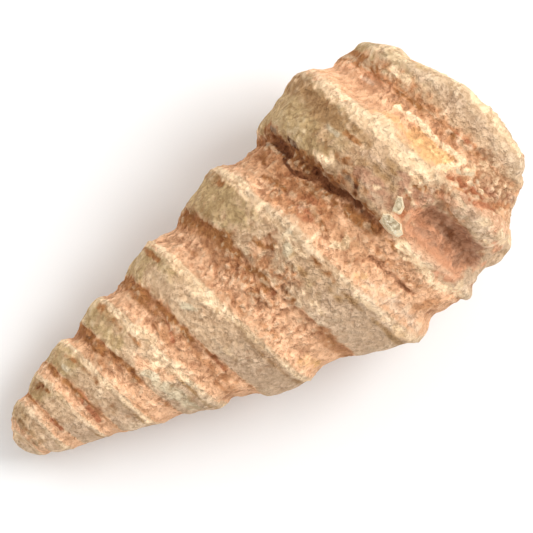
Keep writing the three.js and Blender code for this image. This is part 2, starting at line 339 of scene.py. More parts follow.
def stroke(places, width):
    """1 on the line through these places (along in mm, around in degrees), fading over the width in mm."""
    nearest = np.full(len(along), np.inf)
    ends = places[1:] if len(places) > 1 else places
    for (a_along, a_around), (b_along, b_around) in zip(places, ends):
        step = np.radians((b_around - a_around + 180) % 360 - 180) * radius
        offset = np.radians((around - a_around + 180) % 360 - 180) * radius
        reach = b_along - a_along
        length = np.maximum(reach**2 + step**2, 1e-9)
        share = np.clip(((along - a_along) * reach + offset * step) / length, 0, 1)
        distance = np.hypot(along - a_along - share * reach, offset - share * step)
        nearest = np.minimum(nearest, distance)
    return np.exp(-((nearest / width) ** 2))


def bell(middle, width):
    """1 where the course is at the middle, fading over the width, across the keel too."""
    offset = (course - middle + 0.5) % 1 - 0.5
    return np.exp(-((offset / width) ** 2))


swell = unevenness(4.5, 1)
lump = unevenness(2.1, 2, 2)
knot = unevenness(1.2, 3, 2)
plate = unevenness(2.6, 6, 3)
crease = 1 - np.abs(unevenness(1.5, 8, 2))  # 1 in the winding creases between lumps
crumb = crumbs(1.1, 5)
crusty = ease(unevenness(5.0, 7), -0.6, 0.4)
print(f"fields: swell {swell.std():.2f}, lump {lump.std():.2f}, knot {knot.std():.2f}")
print(f"crease {crease.mean():.2f}, crumb {crumb.mean():.2f} on average")

# %% [markdown]
# ## Carving what runs all round
#
# Three things follow the coil from tip to base. The keels are thin lips with a broken, chipped edge. At
# the foot of each wall, where the next whorl once touched, runs a narrow furrow that still holds dirt.
# The grooves are crusty and lumpy, with thin plates half come away, while the bands were rubbed smoother.
# A few stretches are smoother still, so all roughness is scaled down there. Every depth is in millimetres.

# %% Carve keels, furrows and the general surface
large_whorl = ease(along, 4, 40)
side = (0.45 + 0.55 * large_whorl) * (1 - ease(along, 74, 78))
groove = ease(course, 0.03, 0.12) * (1 - ease(course, 0.5, 0.62))
keel = bell(0.0, 0.025)
furrow = bell(0.52, 0.035) * (1.1 - 0.5 * ease(around, 80, 130)) * ease(along, 67, 65)
furrow_open = ease(swell + 0.5 * lump, -0.7, 0.5)  # crust has closed it here and there

RUBBED_SMOOTH = [  # places, mm wide, and how smooth, from 0 to 1
    ([(60.4, 110), (61.0, 126), (61.4, 146)], 2.2, 0.9),
    ([(65.0, 6), (65.8, 28), (67.0, 48)], 2.0, 0.7),
    ([(66.4, 60), (67.2, 76), (67.8, 92)], 1.9, 0.75),
    ([(59.2, 84), (60.6, 94)], 2.0, 0.7),
    ([(51.2, 117), (52.2, 132), (52.6, 148)], 1.8, 0.65),
]
smooth = 0.55 * ease(np.abs(around - 180), 52, 28)  # the lower edge is worn smoother
for places, width, strength in RUBBED_SMOOTH:
    smooth = np.maximum(smooth, strength * stroke(places, width))
calm = 1 - smooth
rough = (0.45 + 0.55 * groove) * calm

KEEL_LIP, KEEL_CHIP = 0.2, 0.4
FURROW_DEPTH = 0.34
SWELL_HEIGHT, LUMP_HEIGHT, KNOT_HEIGHT = 0.2, 0.17, 0.13
CREASE_DEPTH = 0.06
PLATE_HEIGHT = 0.17
CRUMB_HEIGHT, GROOVE_CRUMB_HEIGHT = 0.08, 0.09
lift = keel * side * (KEEL_LIP - KEEL_CHIP * ease(lump + 0.5 * swell, 0.0, 0.6))
lift -= FURROW_DEPTH * furrow * side * furrow_open
lift += SWELL_HEIGHT * swell + (LUMP_HEIGHT * lump + KNOT_HEIGHT * knot) * rough
lift -= CREASE_DEPTH * (1 + groove) * ease(crease, 0.7, 1.0) * (0.4 + 0.6 * crusty) * calm
lift += PLATE_HEIGHT * groove * ease(plate, -0.05, 0.1) * side * calm
lift += (CRUMB_HEIGHT + GROOVE_CRUMB_HEIGHT * groove * side) * (crumb - 0.6) * crusty * calm
print(f"carved from {lift.min():.2f} to {lift.max():.2f} mm")

# %% [markdown]
# ## The base face
#
# The shell's mouth is gone, and the mould ends in a rough break. Stone breaks in low steps, so the face
# that looks along the axis gets plates of two sizes, each a sharp step in a noise field. The vertex
# normals tell which vertices belong to that face.

# %% Break the base face into low steps
normals = np.empty(len(stone.data.vertices) * 3)
stone.data.vertices.foreach_get("normal", normals)
normals = normals.reshape(-1, 3)
LARGE_STEP, SMALL_STEP = 0.5, 0.35  # mm
FACE_SINK = 0.45  # mm, so that the steps go down as much as up
broken_face = ease(normals @ np.array(ALONG), 0.6, 0.9) * ease(along, 62, 68) * ease(radius, 17, 13)
steps = LARGE_STEP * ease(plate, -0.1, 0.1) + SMALL_STEP * ease(swell + 0.3 * knot, 0.0, 0.15)
lift += broken_face * (steps - FACE_SINK)
print(f"the broken base face takes up {broken_face.mean():.0%} of the mesh")

# %% [markdown]
# ## Evening out the outline
#
# Each whorl of the real mould is worn a little differently. Along the upper and the lower edge, which give
# the stone its outline, a broad stroke takes a keel down by half a millimetre here and fills a groove
# there. The shoulder, the lip and the lower corner of the base get a few strokes of their own.

# %% Wear and fill the two outer edges
UPPER, LOWER = 2, 178  # degrees around
WORN_OR_FILLED = {  # mm along, mm wide, and mm filled (or worn, below 0)
    UPPER: [
        (4.2, 1.6, -0.65), (9.2, 1.6, 0.6), (11.3, 0.9, 0.25), (14.4, 1.3, -0.75), (17.0, 1.2, 0.4),
        (18.8, 0.8, 0.25), (21.6, 1.2, -0.45), (23.0, 1.0, -0.3), (31.6, 1.3, -0.6), (34.6, 1.2, -0.25),
        (39.0, 3.2, 0.45), (42.8, 1.0, 0.25), (47.0, 1.3, -0.4), (48.6, 0.8, -0.3), (51.0, 1.0, -0.5),
        (55.8, 1.9, -0.6), (58.2, 1.1, -0.4), (64.8, 1.2, 0.25), (66.6, 0.9, 0.4), (69.6, 1.2, -0.8),
    ],
    LOWER: [
        (2.2, 0.8, -0.3), (9.3, 2.0, -0.35), (13.6, 1.0, -0.25), (15.5, 1.5, -0.25), (21.4, 0.9, 0.4),
        (23.3, 1.3, 0.35), (26.4, 1.1, -0.5), (30.8, 0.8, 0.3), (31.9, 1.4, 0.45), (36.0, 1.3, -0.35),
        (38.8, 2.2, -0.3), (44.5, 1.0, 0.25), (47.5, 3.6, 0.4), (51.6, 1.0, 0.4), (53.2, 1.6, 0.7),
        (55.7, 1.2, -0.4), (59.4, 0.8, 0.3), (61.3, 1.0, 0.8), (62.3, 1.0, -1.0), (64.6, 1.4, -1.3),
        (67.6, 1.2, 0.5), (69.6, 1.1, 0.6), (73.1, 1.3, -1.1),
    ],
}
EDGE_REACH = 16  # degrees to each side of the edge
EDGE_LEAN = 0.9  # mm along from one end of such a stroke to the other
for edge, places in WORN_OR_FILLED.items():
    for place, width, amount in places:
        ends = [(place, edge - EDGE_REACH), (place + EDGE_LEAN, edge + EDGE_REACH)]
        lift += amount * stroke(ends, width)

ENDS_WORN_OR_FILLED = [  # places, mm wide, and mm filled (or worn, below 0)
    ([(71.9, 5), (72.7, 20), (73.2, 38)], 1.5, 0.9),  # the shoulder
    ([(75.8, 54), (77.8, 76)], 1.2, 0.3),
    ([(78.0, 84), (78.6, 105)], 1.6, -0.7),  # the lip
    ([(78.3, 116)], 0.9, -0.35),
    ([(77.2, 118), (76.0, 130)], 1.8, 0.5),
    ([(75.7, 130)], 1.2, 0.45),
    ([(73.4, 145), (71.4, 158)], 1.5, -0.7),  # the lower corner
    ([(1.8, 330), (1.8, 30)], 1.8, -0.25),  # the tip
    ([(0.4, 180), (0.6, 225)], 1.5, 0.7),
]
for places, width, amount in ENDS_WORN_OR_FILLED:
    lift += amount * stroke(places, width)
print(f"evened out, from {lift.min():.2f} to {lift.max():.2f} mm")

# %% [markdown]
# ## The spalled hollow and what surrounds it
#
# Single marks give this fossil its face. The greatest is the hollow in the last band, where a shell-shaped
# flake has sprung off. Past it stands a knob, and before it runs a low ridge. At its upper end, a thin
# shelf and a forked, twig-like ridge lie beside the two crystals. Each mark is one stroke or two, raised
# or sunk by up to about a millimetre.

# %% Carve the hollow, the knob and the shelf beside the crystals
hollow = stroke([(62.0, 112), (62.6, 126), (62.9, 143)], 2.3)
hollow_wall = stroke([(63.9, 112), (64.6, 122), (64.5, 145)], 1.3)
knob = ease(stroke([(67.9, 112), (68.4, 134)], 2.7) + 0.12 * lump, 0.3, 0.75)
knob *= 1 - 0.45 * ease(around, 128, 144)  # lower towards the lower flank
shelf = stroke([(60.8, 105), (63.3, 104), (65.6, 105)], 0.7)
spall_ridge = stroke([(57.8, 110), (58.5, 125), (58.9, 144), (60.6, 155)], 0.8)
long_twig = stroke([(63.0, 95), (62.9, 99), (62.6, 103)], 0.3)
twig = np.maximum(long_twig, stroke([(64.1, 101), (64.9, 99)], 0.3))
lift += -0.8 * hollow - 0.6 * hollow_wall * (1 + 0.4 * lump) + 0.75 * knob + 0.35 * shelf
lift += 0.15 * spall_ridge + 0.3 * twig
print(f"the hollow and the knob, from {lift.min():.2f} to {lift.max():.2f} mm")

# %% [markdown]
# ## The last groove
#
# A thin rib winds along the floor of the last groove, and a line of chips joins it to the keel. Past that
# line the ground is broken: crumbs and plates in place of a smooth floor, a crack and a few chips that
# stand up. The suture, the line where one turn of the shell met the next, is partly filled with hardened
# mud.

# %% Carve the rib, the chip line and the broken patch of the last groove
rib = stroke([(68.8, 62), (69.6, 71), (70.0, 79), (70.2, 87), (71.0, 94), (71.4, 102)], 0.45)
last_suture = stroke([(69.2, 22), (69.8, 38), (70.4, 55), (71.0, 66)], 0.7)
filled_suture = stroke([(70.4, 34), (71.0, 50), (71.7, 66), (72.4, 80), (73.2, 96)], 1.3)
filled_end = stroke([(67.6, 352), (68.2, 8), (69.0, 30)], 1.3)
chip_line = stroke([(64.7, 97), (67.3, 97), (69.4, 100), (71.4, 101)], 0.45)
broken = stroke([(66.6, 105), (69.5, 110), (71.9, 118), (72.6, 127)], 1.9)
crack_places = [(68.5, 101), (69.5, 105), (69.4, 109), (68.5, 111), (68.6, 114), (69.9, 120), (70.9, 126)]
groove_crack = stroke(crack_places, 0.35)
groove_chips = np.maximum(stroke([(70.6, 116)], 0.4), 0.4 * stroke([(71.5, 106), (70.8, 103)], 0.5))
lift += 0.38 * rib * (1 + 0.2 * lump) + 0.15 * last_suture + 0.3 * chip_line
lift += 0.95 * filled_suture + 0.4 * filled_end
lift += broken * (0.5 * crumb + 0.3 * plate - 0.45) - 0.3 * groove_crack + 0.3 * groove_chips
print(f"the last groove, from {lift.min():.2f} to {lift.max():.2f} mm")

# %% [markdown]
# ## The recess
#
# Where the last band stands over the groove before it lies a deep cleft. It is the darkest place on
# the stone, so it is cut about a millimetre deep, crumbly inside, with sharp cracks along it, and its
# colour gets painted shade as well.
# Lower down it fades into a narrow furrow, and a white lump stands at its upper lip.

# %% Carve the recess, its cracks and the furrows near it
recess = stroke([(54.0, 45), (54.5, 60), (55.6, 79), (56.3, 90), (57.0, 103)], 0.75)
recess_start = stroke([(53.2, 18), (53.4, 30), (53.7, 42)], 0.6)
recess_crust = stroke([(53.9, 46), (54.2, 57)], 0.8)
cracks = stroke([(52.0, 52), (53.1, 57), (54.4, 63), (55.0, 72), (55.8, 81), (56.3, 89)], 0.34)
cracks = np.maximum(cracks, stroke([(53.1, 20), (53.3, 31), (53.5, 40)], 0.34))
low_furrow = stroke([(53.8, 111), (54.6, 128), (55.3, 142)], 0.4)
band_furrow = stroke([(57.2, 84), (59.0, 79)], 0.35)
white_lump = stroke([(56.7, 61), (57.0, 66)], 0.7)
lift += 1.0 * recess_crust * (0.5 + 0.5 * crumb) - 1.2 * recess * (1 - 0.5 * crumb) - 0.5 * recess_start
lift += 0.5 * white_lump - 0.55 * cracks - 0.45 * low_furrow - 0.35 * band_furrow
print(f"the recess, from {lift.min():.2f} to {lift.max():.2f} mm")

# %% [markdown]
# ## Crust, notch, flake and pits
#
# A knobbly crust has crept over one band's foot, and the keel above it is notched. Nearby a thin layer has
# come off and left a flake edge, made as a sharp step across a soft stroke. The tip has two small pits
# and a low ridge.

# %% Carve the crust, the notch, the flake edge and the marks at the tip
crust = stroke([(37.5, 72), (40.0, 84), (43.0, 91)], 2.6)
crust = np.maximum(crust, stroke([(38.5, 97), (41.5, 99)], 2.0))
lift += crust * (0.5 * crumb + 0.25 * lump - 0.15)
keel_notch = ease(stroke([(42.0, 82), (43.6, 78), (45.2, 74)], 1.2) + 0.6 * knot, 0.5, 1.2)
band_plate = stroke([(45.3, 84), (46.6, 81), (47.2, 88)], 1.5)
flake = stroke([(48.6, 66), (49.6, 76), (49.8, 82)], 2.3) + 0.2 * lump
lift += -0.35 * keel_notch + 0.25 * band_plate + 0.25 * ease(flake, 0.42, 0.5)
tip_pits = stroke([(6.7, 34), (6.9, 36)], 0.3) + 0.8 * stroke([(7.4, 38), (7.5, 44)], 0.3)
lift += -0.6 * tip_pits + 0.2 * stroke([(3.8, 58), (4.4, 93), (4.4, 150)], 0.5)
print(f"with the single marks from {lift.min():.2f} to {lift.max():.2f} mm")

# %% [markdown]
# ## Moving the surface, and keeping the rest flats flat
#
# Each vertex moves out of the stone along its normal by what was carved there. The small flats worn on
# the lowest keels must stay level on the surface that the fossil lies on, so the carving fades out just
# above it and nothing goes below it.

# %% Move the vertices along their normals
FLAT_FADE = (0.02, 0.9)  # mm above the surface where the carving starts and is full

height = stone_points[:, 2] / MM
moved = stone_points + normals * (lift * ease(height, *FLAT_FADE))[:, None] * MM
moved[:, 2] = np.maximum(moved[:, 2], 0)
stone.data.vertices.foreach_set("co", moved.ravel())
stone.data.update()
print("stone in mm:", np.round(moved.min(0) / MM, 1), "to", np.round(moved.max(0) / MM, 1))

# %% [markdown]
# ## Where dirt and painted shade darken the hollows, and where the stone is rubbed pale
#
# Hollows keep their red-brown dirt and are given painted shade as well, and high edges are rubbed pale.
# Comparing each vertex with the average of its surroundings tells which is which. That number is stored
# on the mesh for the material to read.

# %% Measure how far each vertex stands above its surroundings
edge_ends = np.empty(len(stone.data.edges) * 2, dtype=int)
stone.data.edges.foreach_get("vertices", edge_ends)
edge_ends = edge_ends.reshape(-1, 2)
neighbour_count = np.bincount(edge_ends.ravel(), minlength=len(moved)).astype(float)


def average_with_neighbours(values, rounds):
    """Each value becomes the average of its neighbours', so many times over."""
    for _ in range(rounds):
        total = np.zeros_like(values)
        np.add.at(total, edge_ends[:, 0], values[edge_ends[:, 1]])
        np.add.at(total, edge_ends[:, 1], values[edge_ends[:, 0]])
        values = total / neighbour_count[:, None]
    return values


def standing_out(rounds):
    """How many mm each vertex stands above the mesh smoothed by so many rounds."""
    smoothed = average_with_neighbours(moved, rounds)
    return ((moved - smoothed) * normals).sum(1) / MM


fine_relief = standing_out(6)
broad_relief = standing_out(60)
relief = np.clip(fine_relief / 0.1 * 0.5 + broad_relief / 0.5 * 0.5, -1, 1)
print(f"relief from {relief.min():.2f} to {relief.max():.2f}, mean {relief.mean():.2f}")

# %% [markdown]
# ## Painting masks
#
# The stone's colours follow the whorls too: tan and khaki bands, salmon grooves that redden towards the
# wall, cream along the keels. The broken base face has patches of salmon and khaki of its own. On top of
# that come single patches. Each colour gets a mask, a number for each vertex that is 0 where the colour
# is missing and 1 where it is full. The material breaks the masks' edges up with grain, so they can be
# soft here. To uncover a lower colour, the one above it is wiped off.

# %% Make the masks that follow the whorls
base_face = ease(average_with_neighbours(normals, 12) @ np.array(ALONG), 0.6, 0.85) * ease(along, 62, 68)
from_top = np.minimum(around, 360 - around)
upper = 1 - ease(from_top, 40, 90)  # 1 on the upper flank
lower = ease(from_top, 85, 130)  # 1 on the lower flank
front = 1 - upper - lower
band = ease(course, 0.52, 0.6) * (1 - ease(course, 0.95, 1))
keel_middle = 0.02 - 0.035 * ease(from_top, 45, 120)
masks = {
    "khaki": band * upper * (0.75 + 0.25 * swell),
    "lavender": band * lower * (0.85 + 0.3 * swell),
    # umber under the keel lip on the lower flank is painted shade
    "umber": bell(0.925, 0.028) * lower * (0.7 + 0.3 * swell),
    "salmon": ease(course, 0.0, 0.09) * (1 - ease(course, 0.5, 0.58)) * (1.0 + 0.15 * swell),
    "deep": bell(0.44, 0.12) * (0.85 * upper + 0.6 * front + 0.25 * lower + 0.25 * swell),
    "brown": bell(0.5, 0.06) * (0.85 * upper + 0.55 * front + 0.3 * lower + 0.25 * lump),
    "cream": bell(keel_middle, 0.035) * (0.85 - 0.25 * lower + 0.3 * lump + 0.2 * swell),
}
masks["cream"] = np.maximum(masks["cream"], bell(0.955, 0.035) * (1 - lower) * (0.6 + 0.3 * lump))
for mask in masks.values():
    mask *= 1 - base_face
masks["salmon"] += base_face * ease(swell + 0.5 * lump, -0.1, 0.7)
masks["khaki"] += base_face * ease(plate + 0.4 * lump, 0.1, 0.8)
masks["cream"] += 0.7 * base_face * ease(crease, 0.6, 1.0)


def paint(name, *strokes):
    """Adds strokes of (places, width, strength) to a mask, keeping the strongest."""
    mask = masks.setdefault(name, np.zeros(len(along)))
    for places, width, strength in strokes:
        np.maximum(mask, strength * stroke(places, width), out=mask)


def wipe(name, *strokes):
    """Takes strokes of (places, width, strength) off a mask."""
    for places, width, strength in strokes:
        masks[name] *= 1 - strength * stroke(places, width)


def tell_masks(step):
    """Prints each mask's mean over the stone at this step."""
    print(step, ", ".join(f"{name} {mask.mean():.2f}" for name, mask in masks.items()))


tell_masks("around the whorls:")

# %% [markdown]
# ## Patches in the last groove and on its rim
#
# The widest groove is where most has happened to the stone. Its floor has an amber, iron-stained field
# fenced in by cream ribs. Beside it the red of the furrow runs down into the broken ground, and the knob
# past the hollow is grey and mauve. Each of these is a few strokes of one colour. The colours are laid in
# the order in which the material covers one with the next.

# %% Paint the last groove, its rim and the knob
paint("lavender", ([(73.6, 50), (75.2, 74), (76.0, 90), (75.6, 112)], 1.2, 0.7))
paint("salmon", ([(63.4, 5), (63.8, 30), (64.2, 48)], 1.0, 1))
wipe("salmon", ([(72.0, 114), (73.4, 128), (73.4, 140)], 2.0, 0.8))
# pale at 68.1 to 68.5 mm along, 34 to 42 degrees, is painted light on the suture's shaded slope
paint(
    "pale",
    ([(68.0, 119), (68.2, 125)], 0.6, 0.9), ([(68.1, 34), (68.5, 42)], 0.4, 0.8),
    ([(71.9, 84), (72.4, 92)], 0.4, 0.8),
)
paint("grey", ([(69.9, 102), (71.2, 107)], 0.5, 0.9), ([(70.3, 109), (71.2, 112)], 0.5, 0.8))
paint(
    "deep",
    ([(67.4, 106), (69.6, 109), (71.6, 107)], 1.3, 0.85),
    ([(68.9, 4), (69.8, 20), (70.4, 38), (71.0, 56), (71.6, 70)], 0.75, 0.9),
    ([(69.4, 116), (71.8, 128), (73.0, 135)], 0.5, 0.8),
    ([(70.6, 22), (71.9, 50), (72.8, 75), (73.3, 95)], 1.2, 0.55),
    ([(71.5, 75), (72.7, 81), (73.4, 89), (73.9, 98)], 0.7, 0.85),
)
# wiping deep at 68 to 69.5 mm along, 16 to 50 degrees, is painted light on the same slope
wipe(
    "deep",
    ([(65.0, 5), (66.2, 30), (67.4, 60), (68.0, 90)], 2.2, 0.9), ([(68.0, 16), (68.3, 40)], 0.8, 0.7),
    ([(69.1, 38), (69.5, 50)], 0.5, 0.9), ([(70.3, 103), (71.5, 107)], 0.6, 1), ([(70.3, 109)], 0.4, 0.8),
)
paint(
    "amber",
    ([(66.9, 62), (67.4, 76), (67.6, 92)], 1.3, 0.5), ([(68.4, 78), (68.9, 86), (69.2, 96)], 1.2, 1.2),
    ([(69.0, 60), (70.2, 68)], 0.8, 0.5),
)
paint(
    "red",
    ([(68.2, 110), (68.3, 113)], 0.5, 1), ([(68.4, 101), (69.0, 103)], 0.4, 0.9),
    ([(69.5, 105), (69.4, 109), (68.5, 111), (68.6, 114), (69.9, 120), (70.9, 126)], 0.4, 1),
    ([(70.0, 112), (70.3, 118)], 0.3, 0.9), ([(73.2, 88), (73.7, 98)], 0.5, 0.6),
)
wipe(
    "brown",
    ([(66.0, 5), (67.2, 30), (68.4, 60), (69.4, 90)], 1.7, 0.9), ([(68.6, 36), (69.0, 48)], 0.5, 0.9),
)
paint("brown", ([(69.3, 8), (69.9, 22), (70.6, 40)], 0.5, 0.9), ([(70.2, 31), (70.6, 38)], 0.6, 1))
paint(
    "rose",
    ([(66.8, 109), (67.8, 111), (68.9, 117), (69.4, 122)], 0.6, 0.9),
    ([(69.6, 122), (69.6, 140)], 1.0, 0.7),
)
wipe("rose", ([(68.3, 109), (68.4, 113)], 0.6, 1))
paint(
    "mauve",
    ([(66.8, 113), (67.8, 115), (68.2, 118)], 0.55, 0.85), ([(71.9, 118), (72.5, 126)], 0.5, 0.75),
    ([(73.6, 126), (73.8, 136)], 0.6, 0.6),
)
wipe("cream", ([(66.3, 104), (67.2, 114), (68.0, 125), (68.8, 150)], 1.6, 0.95))
paint(
    "cream",
    ([(64.4, 58), (65.2, 68), (65.5, 80), (65.9, 92)], 0.75, 1.0),
    ([(66.0, 94), (67.6, 95), (69.4, 98), (71.2, 101)], 0.4, 0.9),
    ([(66.2, 63), (66.7, 74), (66.4, 86)], 0.8, 0.75), ([(68.0, 120), (68.6, 123)], 0.4, 0.8),
    ([(68.2, 104), (68.6, 106)], 0.3, 0.7), ([(68.9, 62), (69.7, 71)], 0.45, 0.85),
    ([(69.0, 134), (69.4, 150)], 0.8, 0.7), ([(69.2, 131), (69.7, 136)], 0.5, 0.9),
    ([(69.7, 71), (70.1, 79), (70.3, 87), (71.0, 94)], 0.45, 1.2), ([(70.6, 116)], 0.3, 1),
    ([(71.0, 94), (71.4, 102)], 0.35, 0.8), ([(71.5, 106), (70.8, 103)], 0.3, 0.8),
    ([(71.9, 103), (72.1, 107)], 0.5, 0.8), ([(72.0, 46), (72.5, 57)], 0.5, 0.8),
    ([(72.6, 30), (74.0, 48)], 0.9, 0.6), ([(73.2, 104), (73.4, 112), (73.5, 121)], 0.5, 0.7),
    ([(75.5, 48), (77.4, 66), (78.3, 80), (78.6, 95), (78.2, 112)], 0.8, 0.85),
)
wipe("cream", ([(62.2, 5), (62.9, 26)], 1.4, 0.9), ([(66.4, 76), (66.6, 82)], 0.5, 0.8))
tell_masks("with the last groove:")

# %% [markdown]
# ## Patches on the last band
#
# The steep last band is khaki and umber above, greyer in the middle, and flushed with rose in the spalled
# hollow, where the break is fresher and less weathered. Mauve on the hollow's steep side and part of the
# umber above are painted shade. Small red and cream spots surround the crystals. The recess under the band
# is darkest, so brown and shadow strokes follow its cracks as painted shade.

# %% Paint the last band, the hollow and the recess's roof
paint("khaki", ([(56.4, 2), (56.8, 48)], 2.0, 0.9))
paint("lavender", ([(58.6, 82), (59.4, 94)], 1.8, 0.95), ([(61.6, 78), (62.0, 92)], 1.6, 0.85))
paint("pale", ([(62.0, 156), (64.6, 166)], 1.6, 0.7), ([(65.6, 101), (65.9, 104)], 0.4, 0.8))
paint("grey", ([(60.0, 54), (60.3, 61)], 0.5, 0.8))
paint(
    "deep",
    ([(57.0, 74), (57.4, 84)], 0.7, 0.8), ([(58.6, 104), (60.6, 103), (62.4, 99)], 0.9, 0.7),
    ([(64.8, 100)], 0.6, 0.7), ([(65.9, 106), (66.2, 128), (65.8, 145)], 0.9, 0.7),
    ([(66.1, 104), (66.6, 106)], 0.5, 0.9),
)
paint("red", ([(59.5, 101), (60.7, 103)], 0.5, 1), ([(62.1, 101)], 0.4, 1), ([(62.6, 97)], 0.35, 1))
# brown along the recess, 53 to 58.4 mm along, is painted shade
paint(
    "brown",
    ([(53.2, 8), (53.6, 30), (54.4, 48), (55.6, 60), (56.4, 76)], 1.0, 0.75),
    ([(54.2, 18), (54.6, 31)], 0.5, 0.9), ([(56.9, 84), (57.3, 95), (57.7, 106)], 0.8, 0.75),
    ([(58.0, 74), (58.2, 80), (58.4, 86)], 0.65, 1), ([(58.4, 69), (59.5, 71)], 0.35, 0.7),
    ([(58.6, 68), (59.4, 77)], 0.9, 0.6), ([(61.4, 62), (61.9, 70)], 0.5, 0.85),
    ([(64.1, 96), (64.6, 98), (65.1, 99)], 0.4, 0.9),
)
wipe("brown", ([(56.5, 66), (56.7, 73)], 0.5, 0.8))
# the broad umber on the band's upper side, 60 to 62 mm along, is painted shade where it faces from the
# light
paint(
    "umber",
    ([(58.2, 61), (58.8, 58)], 0.35, 0.9), ([(60.4, 2), (60.9, 30), (61.2, 48), (61.5, 56)], 1.8, 1.05),
    ([(61.2, 76), (61.4, 84), (61.6, 92)], 1.5, 0.6), ([(62.2, 50), (63.0, 74), (63.5, 88)], 0.8, 0.8),
)
wipe("umber", ([(60.0, 54), (60.3, 61)], 0.6, 0.8), ([(62.2, 75), (63.3, 79), (63.4, 74)], 0.6, 0.8))
paint(
    "rose",
    ([(59.8, 108), (60.6, 124), (61.0, 144)], 1.7, 1.1),
    ([(60.0, 104), (62.0, 103), (64.0, 103)], 0.8, 0.8), ([(62.0, 104), (62.4, 128), (62.8, 144)], 1.3, 1),
    ([(64.0, 150), (65.4, 152)], 0.7, 0.7), ([(66.0, 105), (66.7, 108), (67.4, 112)], 0.6, 0.8),
    ([(68.0, 136), (68.4, 150)], 1.2, 0.6),
)
wipe("rose", ([(59.5, 101), (60.7, 103)], 0.45, 1), ([(62.1, 101)], 0.45, 1))
# mauve on the hollow's steep side, 63.6 to 65.8 mm along and 111 to 146 degrees, is painted shade
paint(
    "mauve",
    ([(58.6, 89), (58.8, 95)], 0.5, 0.8), ([(59.4, 78), (60.2, 88), (60.0, 96)], 1.2, 0.75),
    ([(61.2, 112), (62.4, 126), (63.0, 142)], 1.2, 0.55), ([(61.6, 97), (62.0, 102)], 0.6, 1),
    ([(62.2, 95), (63.6, 93)], 0.5, 0.9), ([(63.0, 92), (63.2, 97), (63.6, 100)], 0.5, 0.9),
    ([(63.6, 88), (64.0, 92)], 0.5, 0.8), ([(63.6, 111), (64.2, 122), (64.6, 146)], 1.3, 1.1),
    ([(63.8, 97), (63.6, 103)], 0.5, 0.8), ([(64.1, 101), (64.6, 103), (64.8, 105)], 0.5, 1),
    ([(65.4, 125), (65.8, 138)], 1.1, 0.85), ([(65.7, 124), (65.6, 136)], 1.2, 0.75),
    ([(66.8, 130), (67.2, 140)], 0.6, 0.5),
)
paint(
    "cream",
    ([(56.7, 58)], 0.4, 0.7), ([(56.9, 62), (57.1, 66)], 0.4, 1.3),
    ([(58.3, 64), (57.9, 67), (57.4, 69)], 0.3, 0.8), ([(59.8, 86), (60.9, 91)], 0.35, 0.55),
    ([(60.3, 157), (61.3, 150)], 0.7, 0.9), ([(61.1, 110)], 0.35, 0.8),
    ([(62.7, 32), (63.2, 46)], 0.5, 0.9), ([(62.8, 100), (62.5, 102)], 0.22, 0.65),
    ([(62.9, 95), (63.4, 98)], 0.22, 0.6), ([(63.8, 101), (64.4, 102)], 0.22, 0.6),
    ([(64.7, 91), (65.0, 94), (65.1, 96)], 0.45, 1), ([(67.4, 131), (67.8, 138)], 0.35, 0.7),
)
wipe("cream", ([(62.5, 47), (62.8, 52)], 0.4, 0.9))
paint(
    "shadow",
    ([(53.0, 19), (53.3, 30)], 0.5, 0.5), ([(54.1, 20), (54.4, 31)], 0.4, 0.95),
    ([(54.3, 43), (54.4, 47)], 0.4, 0.9), ([(54.8, 45), (55.1, 49)], 0.35, 0.9),
    ([(55.0, 42), (55.2, 47)], 0.4, 1), ([(56.1, 88), (56.6, 97)], 0.4, 0.8),
    ([(57.3, 84), (59.2, 78)], 0.35, 0.45), ([(57.9, 77), (58.0, 83)], 0.5, 0.8),
    ([(63.9, 118), (64.3, 134), (64.0, 146)], 0.6, 0.5),
)
tell_masks("with the last band:")

# %% [markdown]
# ## Patches in the groove below the recess
#
# This groove is the reddest: iron has soaked into its crust. It pales towards the lower side, where the
# stone was rubbed, and thin dark strokes lie in the cracks at the recess.

# %% Paint the groove below the recess
paint(
    "pale",
    ([(49.6, 118), (50.4, 145), (51.0, 160)], 0.8, 0.75),
    ([(51.4, 118), (52.4, 140), (53.0, 158)], 1.3, 0.6),
)
paint(
    "deep",
    ([(48.3, 72), (48.7, 79)], 0.5, 0.85), ([(48.8, 58), (49.4, 68), (50.2, 78)], 1.2, 0.8),
    ([(49.3, 46), (49.6, 54)], 0.5, 0.9), ([(50.2, 73), (51.4, 78)], 0.8, 1),
    ([(50.4, 8), (51.6, 30), (51.8, 52)], 1.9, 0.75), ([(51.4, 58), (52.4, 72), (53.2, 82)], 1.7, 0.85),
    ([(54.6, 151), (57.4, 156)], 1.4, 0.7), ([(55.0, 112), (55.8, 128), (56.6, 138)], 1.0, 0.7),
)
paint("amber", ([(50.8, 112), (51.8, 117)], 0.7, 0.6))
paint(
    "red",
    ([(49.4, 76), (50.6, 83)], 0.9, 0.6), ([(50.2, 72), (50.8, 77)], 0.5, 0.8),
    ([(51.0, 64), (52.6, 78)], 1.2, 0.45),
)
paint(
    "brown",
    ([(49.3, 46), (50.2, 53)], 0.6, 0.8), ([(50.0, 53), (50.4, 60)], 0.6, 0.7),
    ([(50.8, 83), (51.2, 88)], 0.5, 0.7), ([(50.8, 106), (52.2, 108)], 0.5, 0.6),
    ([(50.9, 31), (50.2, 40)], 0.6, 0.65), ([(51.3, 79), (51.4, 87)], 0.5, 0.7),
    ([(53.0, 62), (53.3, 72)], 0.6, 0.7), ([(54.2, 74), (54.5, 81)], 0.5, 0.9),
    # brown at the recess's lower end is painted shade
    ([(55.2, 87), (55.6, 97)], 0.7, 1),
)
